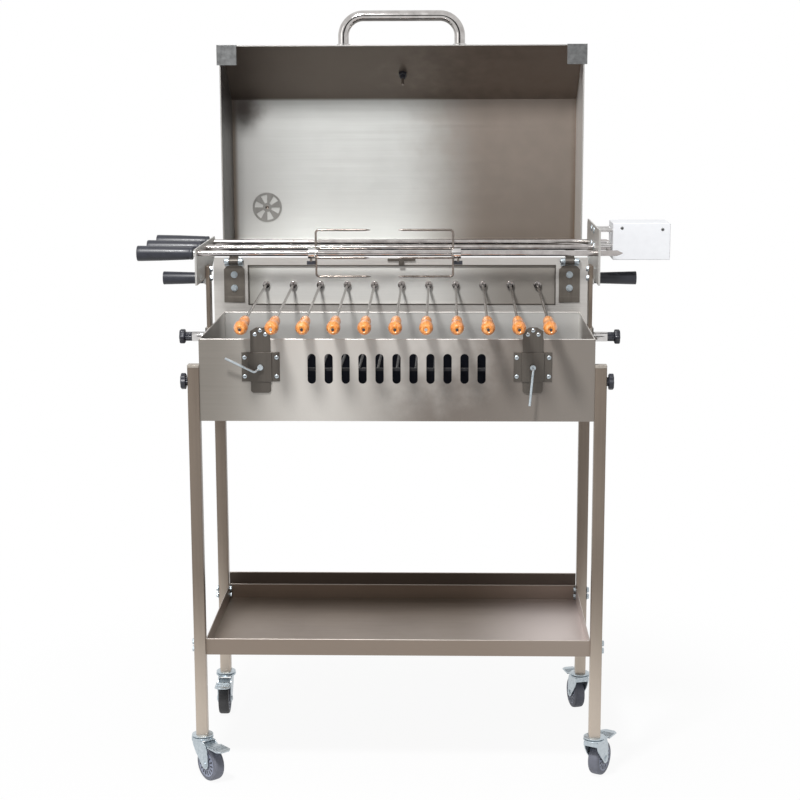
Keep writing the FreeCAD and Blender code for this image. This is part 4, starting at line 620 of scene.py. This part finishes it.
# Slide plates with a peaked top, each with the hook that carries the grate
slide = {"half": 21, "foot": 17, "peak": 8, "low": 856, "lowCorner": 860, "highCorner": 987, "high": 995,
         "front": -3.3, "back": -0.3, "screwSize": 4.2, "screws": ((0, 988.5), (-11, 980), (11, 980))}
hook = {"half": 14, "sheet": 2, "front": -2.3, "inside": 6.3, "end": 14, "low": 900, "over": 974, "high": 989}
plates, spots = [], []
sheet = hook["sheet"]
for side in (-1, 1):
    x = side * clamp["x"]
    half, foot, peak = slide["half"], slide["foot"], slide["peak"]
    outline = [(x - foot, slide["low"]), (x + foot, slide["low"]), (x + half, slide["lowCorner"]),
               (x + half, slide["highCorner"]), (x + peak, slide["high"]), (x - peak, slide["high"]),
               (x - half, slide["highCorner"]), (x - half, slide["lowCorner"])]
    plates.append(prism(outline, "y", slide["front"], slide["back"]))
    half, inside, over = hook["half"], hook["inside"], hook["over"]
    plates.append(boxes((x - half, hook["front"], over - sheet, x + half, hook["front"] + sheet, hook["high"]),
                        (x - half, hook["front"], over - sheet, x + half, inside, over),
                        (x - half, inside - sheet, hook["low"], x + half, inside, over - sheet),
                        (x - half, inside - sheet, hook["low"], x + half, hook["end"], hook["low"] + sheet)))
    spots += [(x + across, slide["front"], z) for across, z in slide["screws"]]
add("slidePlates", joined(*plates), "dull", "grate_lift", ["slide_plates"], bevel=0.5)
screws("slideScrews", spots, "grate_lift", slide["screwSize"])

# Bent wire clamp levers, each from its boss over a knee to its tip
lever = {"y": -5.9, "z": 911, "radius": 2.6, "bend": 6, "bossRadius": 6, "bossLength": 7,
         "left": ((-11, -13, -9), (-72, -19, 22)), "right": ((0, -15, -3), (-7, -19, -78))}
for name, side in sides:
    knee, tip = lever[name]
    foot = np.array([side * clamp["x"], lever["y"], lever["z"]])
    wire = sweep(bend([foot, foot + knee, foot + tip], [lever["bend"]]), lever["radius"], np.cross(knee, tip))
    boss = lathe(roundedEnds(lever["bossLength"], lever["bossRadius"], lever["bossRadius"], 0.8), foot, -back)
    add(f"clampLever.{name}", joined(wire, boss), "zinc", f"lever_{name}", [f"clamp_lever_{name}"])
print("stage: firebox front")

# Guides for the uprights, with their sleeves and star knobs
guide = {"wall": 415, "sheet": 3, "outer": 426.8, "near": 191.7, "far": 238.3, "low": 922, "high": 966,
         "sleeveLength": 32, "sleeveRadius": 11, "knobGap": 0.3, "hubLength": 15, "hubRadius": 9.5,
         "headGap": -0.3}
carriageY, guideZ = 215, 944
starRow = [(0, 11), (1, 14.6), (2.5, 15.6), (10.5, 15.6), (12.4, 14.2), (13, 11)]
low, high, near, far, sheet, outer = (guide[k] for k in ("low", "high", "near", "far", "sheet", "outer"))
flange = guide["wall"] + sheet
for name, side in sides:
    channel = boxes((flange, near, low, outer, near + sheet, high),
                    (flange, far - sheet, low, outer, far, high),
                    (outer - sheet, near, low, outer, far, high),
                    (guide["wall"], near, low, flange, near + sheet, high),
                    (guide["wall"], far - sheet, low, flange, far, high))
    channel = channel if side > 0 else mirrored(channel)
    add(f"guide.{name}", channel, "case", "stand", bevel=0.5)
    start = np.array([side * outer, carriageY, guideZ])
    sleeve = roundedEnds(guide["sleeveLength"], guide["sleeveRadius"], guide["sleeveRadius"], 0.6)
    add(f"guideSleeve.{name}", lathe(sleeve, start, side * right, 48), "chrome", "stand", ["upright_guides"])
    start = start + side * (guide["sleeveLength"] + guide["knobGap"]) * right
    hub = roundedEnds(guide["hubLength"], guide["hubRadius"], guide["hubRadius"], 1)
    hub = lathe(hub, start, side * right, 96, 14, 0.07)
    start = start + side * (guide["hubLength"] + guide["headGap"]) * right
    head = lathe(starRow, start, side * right, 96, 6, 0.08)
    add(f"starKnob.{name}", joined(hub, head), "black", f"knob_{name}", [f"star_knob_{name}"])

# Upright bars and the lift grips outside the end plates
upright = {"inner": 415.5, "sheet": 8, "half": 20, "low": 892, "high": 1102}
bars = boxes(*[(low, carriageY - upright["half"], upright["low"], low + upright["sheet"],
                carriageY + upright["half"], upright["high"])
               for low in (-upright["inner"] - upright["sheet"], upright["inner"])])
add("uprightBars", bars, "leg", "carriage", ["uprights"], bevel=0.8)
liftGrip = {"x": 426.5, "z": 1074, "length": 93, "start": 12.2, "end": 14.5}
gripRow = [(0, 11), (0.8, 12)] + roundedEnds(liftGrip["length"], liftGrip["start"], liftGrip["end"], 1.2)[5:]
grips = [lathe(gripRow, (side * liftGrip["x"], carriageY, liftGrip["z"]), side * right, 48)
         for side in (-1, 1)]
add("liftGrips", joined(*grips), "black", "carriage", ["lift_grips"])

# Motor case with its two cross screws, its spacers and the carriage's bolts
motor = {"left": 463, "right": 586, "front": 165, "back": 265, "low": 1118.5, "high": 1197.5,
         "screws": ((482, 1187), (569, 1184)), "spacerY": (185, 245), "spacerZ": (1148, 1181),
         "spacerRadius": 4}
case = boxes((motor["left"], motor["front"], motor["low"], motor["right"], motor["back"], motor["high"]))
add("motorCase", case, "white", "carriage", ["motor_case"], bevel=1.6)
dome = [(0, 3.6), (0.6, 3.4), (1.2, 2.2), (1.4, 0.03)]
domes = [lathe(dome, (x, motor["front"], z), -back, 20) for x, z in motor["screws"]]
add("motorScrews", joined(*domes), "galvanised", "carriage")
cross = boxes(*[(x - wide, motor["front"] - 1.7, z - tall, x + wide, motor["front"] - 0.8, z + tall)
                for x, z in motor["screws"] for wide, tall in ((2.2, 0.5), (0.5, 2.2))])
add("motorScrewCuts", cross, "dark", "carriage")
endPlate = {"inner": 423.5, "outer": 426.5, "boltZ": (1074, 1094), "spacerHead": 1.7}
places = [(y, z) for y in motor["spacerY"] for z in motor["spacerZ"]]
spacers = [bar((endPlate["outer"], y, z), right, motor["left"] - endPlate["outer"], motor["spacerRadius"], 24)
           for y, z in places]
add("motorSpacers", joined(*spacers), "chrome", "carriage")
bolts = []
for side in (-1, 1):
    bolts += [hexBolt((side * upright["inner"], carriageY, z), -side * right) for z in endPlate["boltZ"]]
    bolts.append(hexBolt((side * endPlate["outer"], carriageY, endPlate["boltZ"][1]), side * right))
bolts += [hexBolt((endPlate["inner"], y, z), -right, height=endPlate["spacerHead"]) for y, z in places]
add("carriageBolts", joined(*bolts), "zinc", "carriage", ["carriage_fasteners"])

# Large spits: the middle one ends in the motor's coupling, the others in a point
spit = {"z": 1141, "y": {"front": 85, "middle": 215, "rear": 345}, "start": -441.5, "radius": 6,
        "length": 906, "point": 12, "drivenLength": 895, "coupling": 453, "couplingLength": 26,
        "couplingRadius": 9, "grip": -434, "gripLength": 119, "gripRadius": 16.4, "ferrule": -433.8}
gripRow = [(0, 12.6), (1.5, 13.4), (6, 13.5), (7, 12.9), (9, 13.4), (30, 14.2), (70, 15.6), (110, 16.4)]
gripRow += roundedEnds(spit["gripLength"], spit["gripRadius"], spit["gripRadius"], 2)[5:]
for name, y in spit["y"].items():
    if name == "middle":
        coupling = roundedEnds(spit["couplingLength"], spit["couplingRadius"], spit["couplingRadius"], 0.8)
        rod = joined(bar((spit["start"], y, spit["z"]), right, spit["drivenLength"], spit["radius"], 28),
                     lathe(coupling, (spit["coupling"], y, spit["z"]), right, 32))
    else:
        length, radius = spit["length"], spit["radius"]
        rod = lathe([(0, radius), (length, radius), (length + spit["point"], 1)],
                    (spit["start"], y, spit["z"]), right, 28)
    add(f"spitRod.{name}", rod, "rod", f"spit_{name}", [f"spit_{name}"])
    grip = lathe(gripRow, (spit["grip"], y, spit["z"]), -right, 48)
    add(f"spitGrip.{name}", grip, "black", f"spit_{name}")
    ferrule = lathe(roundedEnds(5.5, 8, 8, 0.6), (spit["ferrule"], y, spit["z"]), right, 32)
    add(f"spitFerrule.{name}", ferrule, "chrome", f"spit_{name}")

# Collar rings and thumb screws of the meat forks on the front spit
fork = {"collars": {"left": -189.1, "right": 114.9}, "screws": {"left": -183, "right": 129}, "wing": 9.2,
        "wingThick": 1.8, "low": 1116.8, "high": 1125.2}
y = spit["y"]["front"]
for name in ("left", "right"):
    ring = lathe([(0, 9), (0.6, 11.3), (19.6, 11.3), (20.2, 9)],
                 (fork["collars"][name], y, spit["z"]), right, 40)
    add(f"forkCollar.{name}", ring, "chrome", f"fork_{name}")
    x, thick = fork["screws"][name], fork["wingThick"]
    wings = boxes((x - fork["wing"], y - thick, fork["low"], x + fork["wing"], y + thick, fork["high"]))
    add(f"forkScrew.{name}", wings, "black", f"fork_{name}", bevel=1)
print("stage: carriage")

# Small skewers, leaning with their gearbox: rod, drive socket, toothed wheel and shaft, then the wooden grip
skewer = {"count": 11, "pitch": 63, "z": 1034, "pivotY": 436, "lean": 3, "radius": 3, "length": 454,
          "socket": 427, "socketLength": 33, "socketRadius": 8.5, "wheel": 444.5, "teeth": 14, "shaft": 44,
          "shaftRadius": 4, "gripEnd": -111.7, "brightEnds": (2, 7)}
gripKeys = [(0, 7.2), (4, 9.2), (20, 11.4), (36, 11.2), (50, 9.2), (60, 10.2), (76, 13.9), (92, 14.6),
            (104, 12.8), (111.5, 8.6)]
woodRow = np.vstack([smoothRow(gripKeys, 76, 7), [(112.6, 7.6), (112.9, 6), (111.8, 4.6), (111.8, 0.03)]])
wheelRow = [(0, 19), (0.8, 20.3), (4.2, 20.3), (5, 19)]
socketRow = roundedEnds(skewer["socketLength"], skewer["socketRadius"], skewer["socketRadius"], 1.2)
pivot = (0, skewer["pivotY"], skewer["z"])
for number in range(1, skewer["count"] + 1):
    x = (number - (skewer["count"] + 1) / 2) * skewer["pitch"]
    body, z = f"skewer_{number:02d}", skewer["z"]
    steelParts = joined(bar((x, 0, z), back, skewer["length"], skewer["radius"], 20),
                        lathe(socketRow, (x, skewer["socket"], z), back, 32),
                        lathe(wheelRow, (x, skewer["wheel"], z), back, 56, skewer["teeth"], 0.075),
                        bar((x, skewer["pivotY"], z), back, skewer["shaft"], skewer["shaftRadius"], 20))
    add(f"skewerRod.{number:02d}", turned(steelParts, pivot, "x", skewer["lean"]), "rod", body, [body])
    grip = lathe(woodRow, (x, 0, z), -back, 40)
    add(f"skewerGrip.{number:02d}", turned(grip, pivot, "x", skewer["lean"]), "wood", body)
    end = lathe([(0, 3.2), (0.9, 3.0), (1.3, 2.0), (1.0, 0.03)], (x, skewer["gripEnd"], z), -back, 24)
    add(f"skewerEnd.{number:02d}", turned(end, pivot, "x", skewer["lean"]),
        "zinc" if number in skewer["brightEnds"] else "dark", body)
print("stage: skewers")

# Hood handle on its flanges, and the corner brackets
handle = {"half": 134, "y": 502.7, "z": 1581, "rise": 66, "bend": 46, "radius": 12.4}
path = bend([(x, handle["y"], handle["z"] + rise) for x, rise in
             ((-handle["half"], 0), (-handle["half"], handle["rise"]), (handle["half"], handle["rise"]),
              (handle["half"], 0))], [handle["bend"]] * 2, 18)
add("hoodHandle", sweep(path, handle["radius"], back, 40), "handle", "hood", ["hood_handle"])
flanges = [lathe([(0, 16), (1.6, 16), (3, 14.4), (3, handle["radius"])],
                 (side * handle["half"], handle["y"], handle["z"]), up, 48) for side in (-1, 1)]
add("handleFlanges", joined(*flanges), "chrome", "hood")
bracket = {"inner": 381, "outer": 427, "front": 485.5, "rim": 486.7, "back": 504.7, "low": 1536.2,
           "top": 1581, "high": 1582.2}
inner, outer, front, rim, rear, low, top, high = bracket.values()
face = boxes((inner, front, low, outer, rim, high), (inner, rim, top, outer, rear, high))
add("hoodCorners", joined(face, mirrored(face)), "galvanised", "hood", ["hood_corners"],
    bevel=0.4)

# Thermometer through the slope: stem and probe, round case, nut inside, white face and needle
probe = {"y": 610.2, "z": 1518.5, "run": 183, "rise": 125, "stem": 4, "length": 32, "radius": 3.2,
         "needle": 40}
slope = -math.degrees(math.atan2(probe["rise"], probe["run"]))
centre = np.array([0, probe["y"], probe["z"]])
caseRow = [(0, 31), (1, 32), (12.5, 32), (14, 30.5), (13, 29.5), (12.8, 0.03)]
steelParts = joined(
    bar(centre - 2 * up, up, 4, probe["stem"], 24),
    lathe(roundedEnds(probe["length"], probe["radius"], probe["radius"], 1),
          centre - (2 + probe["length"]) * up, up, 20),
    lathe(caseRow, centre + 2 * up, up, 64))
add("thermometer", turned(steelParts, centre, "x", slope), "wire", "hood", ["thermometer"])
nut = joined(lathe([(0, 10.5), (6.5, 10.5), (7.5, 9.4)], centre - 2 * up, -up, 6),
             lathe([(0, 6.5), (7, 6), (7.6, 5)], centre - 9.5 * up, -up, 24))
add("thermometerNut", turned(nut, centre, "x", slope), "black", "hood")
dial = bar(centre + 14.8 * up, up, 0.3, 29, 48)
add("thermometerFace", turned(dial, centre, "x", slope), "white", "hood")
needle = boxes((-0.8, 592, 1533.4, 0.8, 616, 1534.2))
needle = turned(turned(needle, centre, "z", probe["needle"]), centre, "x", slope)
add("thermometerNeedle", needle, "dark", "hood")
pin = lathe([(0, 4.5), (2.4, 4), (3, 2)], (-337, 697.9, 1194), -back, 24)
add("ventPin", pin, "wire", "vent")
print("stage: hood")

# Casters: each is drawn with its swivel at the origin and its wheel behind it, then turned and moved
caster = {"trail": 30, "wheelZ": 37.5, "half": 12, "axleHalf": 16.5, "cheek": 2.5, "slots": 15,
          "places": {"front_left": (-427.5, 7.5, -49), "front_right": (427.5, 7.5, 61),
              "rear_left": (-427.5, 422.5, -90), "rear_right": (427.5, 422.5, 104)}}
bearingRow = [(0, 18), (1, 23), (4.7, 24), (5.5, 22), (6.4, 20)]
cheek = [(-18, 82), (-14, 70), (-4, 56), (12, 40), (20, 31), (25, 28), (30, 27), (35, 28), (40, 32),
         (41.5, 38), (41, 55), (39, 70), (34, 80), (24, 87), (-18, 87)]
axleHead = [(0, 6.5), (1.6, 6.2), (2.5, 4)]
tread = [(0, 27.5), (0, 33), (0.4, 34.9), (1.4, 36.2), (3.2, 37.1), (7, 37.4), (12, 37.5), (17, 37.4),
         (20.8, 37.1), (22.6, 36.2), (23.6, 34.9), (24, 33), (24, 27.5)]
hubRow = [(-0.4, 4.3), (-0.4, 9), (1.2, 10), (1.2, 12.4), (-0.2, 14), (-0.2, 25.6), (-0.5, 26.2),
          (-0.5, 27.6), (24.5, 27.6), (24.5, 26.2), (24.2, 25.6), (24.2, 14), (22.8, 12.4), (22.8, 10),
          (24.4, 9), (24.4, 4.3)]
pedalOutline = [(12, -13.5), (44, -13.5), (44, -18), (80, -18), (88, -10), (88, 10), (80, 18), (44, 18),
                (44, 13.5), (12, 13.5)]
axle, across = np.array([caster["trail"], 0, caster["wheelZ"]]), caster["axleHalf"]
housing = joined(lathe(bearingRow, 86.3 * up, up, 48), prism(cheek, "y", across - caster["cheek"], across),
                 prism(cheek, "y", -across, caster["cheek"] - across),
                 boxes((-19, -across, 78, -16.5, across, 87)))
bolt = joined(lathe(axleHead, axle + across * back, back, 6), lathe(axleHead, axle - across * back, -back, 24),
              bar(axle - across * back, back, 2 * across, 4, 24))
tyre = lathe(tread, axle - caster["half"] * back, back, 72)
hub = lathe(hubRow, axle - caster["half"] * back, back, 64)
slot = prism([(15.2, -0.9), (24.4, -1.9), (24.4, 1.9), (15.2, 0.9)], "y", -12.5, 12.5)
slots = joined(*[moved(turned(slot, (0, 0, 0), "y", 360 * k / caster["slots"]), axle)
                 for k in range(caster["slots"])])
pedal = joined(prism(pedalOutline, "z", 78.8, 81.3), bar((15, -13.5, 77.3), back, 27, 3.2, 24),
               boxes(*[(x, -16, 81.3, x + 2, 16, 82.1) for x in (52, 58, 64, 70)]))
for name, (x, y, angle) in caster["places"].items():
    def place(form):
        return moved(turned(form, (0, 0, 0), "z", angle), (x, y, 0))
    fork, wheel, brake = f"caster_fork_{name}", f"caster_wheel_{name}", f"caster_pedal_{name}"
    add(f"casterFork.{name}", place(housing), "zinc", fork, [fork], bevel=0.6)
    add(f"casterAxle.{name}", place(bolt), "zinc", fork)
    # The rear left tyre is drawn darker, as painted shade
    shade = "shadedTyre" if name == "rear_left" else "tyre"
    add(f"casterTyre.{name}", place(tyre), shade, wheel, [wheel])
    add(f"casterHub.{name}", place(hub), "hub", wheel)
    add(f"casterSlots.{name}", place(slots), "dark", wheel)
    add(f"casterPedal.{name}", place(pedal), "zinc", brake, [brake], bevel=0.6)
stems = [(side * leg["x"], y) for side in (-1, 1) for y in (leg["frontY"], leg["rearY"])]
mounts = [lathe([(0, 21), (0.8, 23), (3.2, 23), (4, 21)], (x, y, 93), up, 48) for x, y in stems]
pins = [lathe([(0, 8), (4, 8), (4.3, 5), (13, 5)], (x, y, 82), up, 24) for x, y in stems]
add("casterMounts", joined(*mounts, *pins), "zinc", "stand", ["caster_mounts"])
print("stage: casters")


# Rays from the eye, from a reflection or through a clear body: their three marks added up, kept under 1
def shownRays(tree):
    rays = tree.nodes.new("ShaderNodeLightPath")
    parts = [Term(tree, rays.outputs[f"Is {kind} Ray"]) for kind in ("Camera", "Glossy", "Transmission")]
    return (parts[0] + parts[1] + parts[2]).clamp()


floorValues = {"dark": (0.88, 0.88, 0.88), "light": (0.92, 0.92, 0.92), "rough": 0.8, "white": 0.93,
               "middle": (0, 200, 0), "fadeStart": 0.4, "fadeEnd": 1.4}


# Pale matt floor, mixed towards plain white where shown: share = white + (1 - white) times the fade outwards
def floorShade():
    material, shader, place = newMaterial("floor")
    tree = material.node_tree
    grain = place.noise(3, 3)
    finish(shader, place, grain.mix(floorValues["dark"], floorValues["light"]),
           floorValues["rough"] + (grain - 0.5) * 0.1, grain, 0.0001)
    middle = tuple(toFrame(floorValues["middle"]))
    away = place.node("ShaderNodeVectorMath", output=1, inputs={0: place, 1: middle}, operation="DISTANCE")
    fade = away.step(floorValues["fadeStart"], floorValues["fadeEnd"])
    share = shownRays(tree) * (floorValues["white"] + fade * (1 - floorValues["white"]))
    glow = place.node("ShaderNodeEmission", inputs={"Color": (1, 1, 1), "Strength": 1.0})
    mixed = place.node("ShaderNodeMixShader", inputs={0: share, 1: Term(tree, shader.outputs[0]), 2: glow})
    end = next(n for n in tree.nodes if n.type == "OUTPUT_MATERIAL")
    mixed.plug(end.inputs["Surface"], mixed)
    return material


# One flat face of the studio, which is not part of the piece
def board(name, points, material):
    mesh = bpy.data.meshes.new(name)
    mesh.from_pydata(toFrame(points).tolist(), [], [(0, 1, 2, 3)])
    mesh.materials.append(material)
    made = bpy.data.objects.new(name, mesh)
    scene.collection.objects.link(made)


# Floor, a dark board behind the camera for the metals to show, lamps and world
floorHalf, flag = 9000, {"half": 1500, "y": -5200, "low": 900, "high": 3000}
flagShade = mottled("flag", {"dark": (0.10, 0.10, 0.10), "light": (0.16, 0.16, 0.16), "rough": 0.8})
turns = ((-1, -1), (1, -1), (1, 1), (-1, 1))
board("floor", [(across * floorHalf, along * floorHalf, 0) for across, along in turns], floorShade())
board("flag", [(across * flag["half"], flag["y"], flag["low"] if along < 0 else flag["high"])
               for across, along in turns], flagShade)
lights = {
    "key": {"place": (-520, -1456, 2980), "aim": (0, 100, 900), "size": (380, 380), "power": 84},
    "left": {"place": (-3000, -2400, 2000), "aim": (0, 200, 900), "size": (1200, 2000), "power": 12},
}
for name, values in lights.items():
    data = bpy.data.lights.new(name, "AREA")
    data.shape = "RECTANGLE"
    data.size, data.size_y = (part / 1000 for part in values["size"])
    data.energy = values["power"]
    lamp = bpy.data.objects.new(name, data)
    scene.collection.objects.link(lamp)
    start, aim = Vector(toFrame(values["place"])), Vector(toFrame(values["aim"]))
    lamp.matrix_world = Matrix.Translation(start) @ (aim - start).to_track_quat("-Z", "Y").to_matrix().to_4x4()

# The world shows at 1 and lights at less: strength = light + shown rays times (1 - light)
worldLight = 0.31
world = bpy.data.worlds.new("studio")
scene.world = world
world.use_nodes = True
background = next(n for n in world.node_tree.nodes if n.type == "BACKGROUND")
background.inputs["Color"].default_value = (1, 1, 1, 1)
shown = shownRays(world.node_tree)
shown.plug(background.inputs["Strength"], worldLight + shown * (1 - worldLight))
scene.view_settings.view_transform = "Standard"
print("stage: studio")
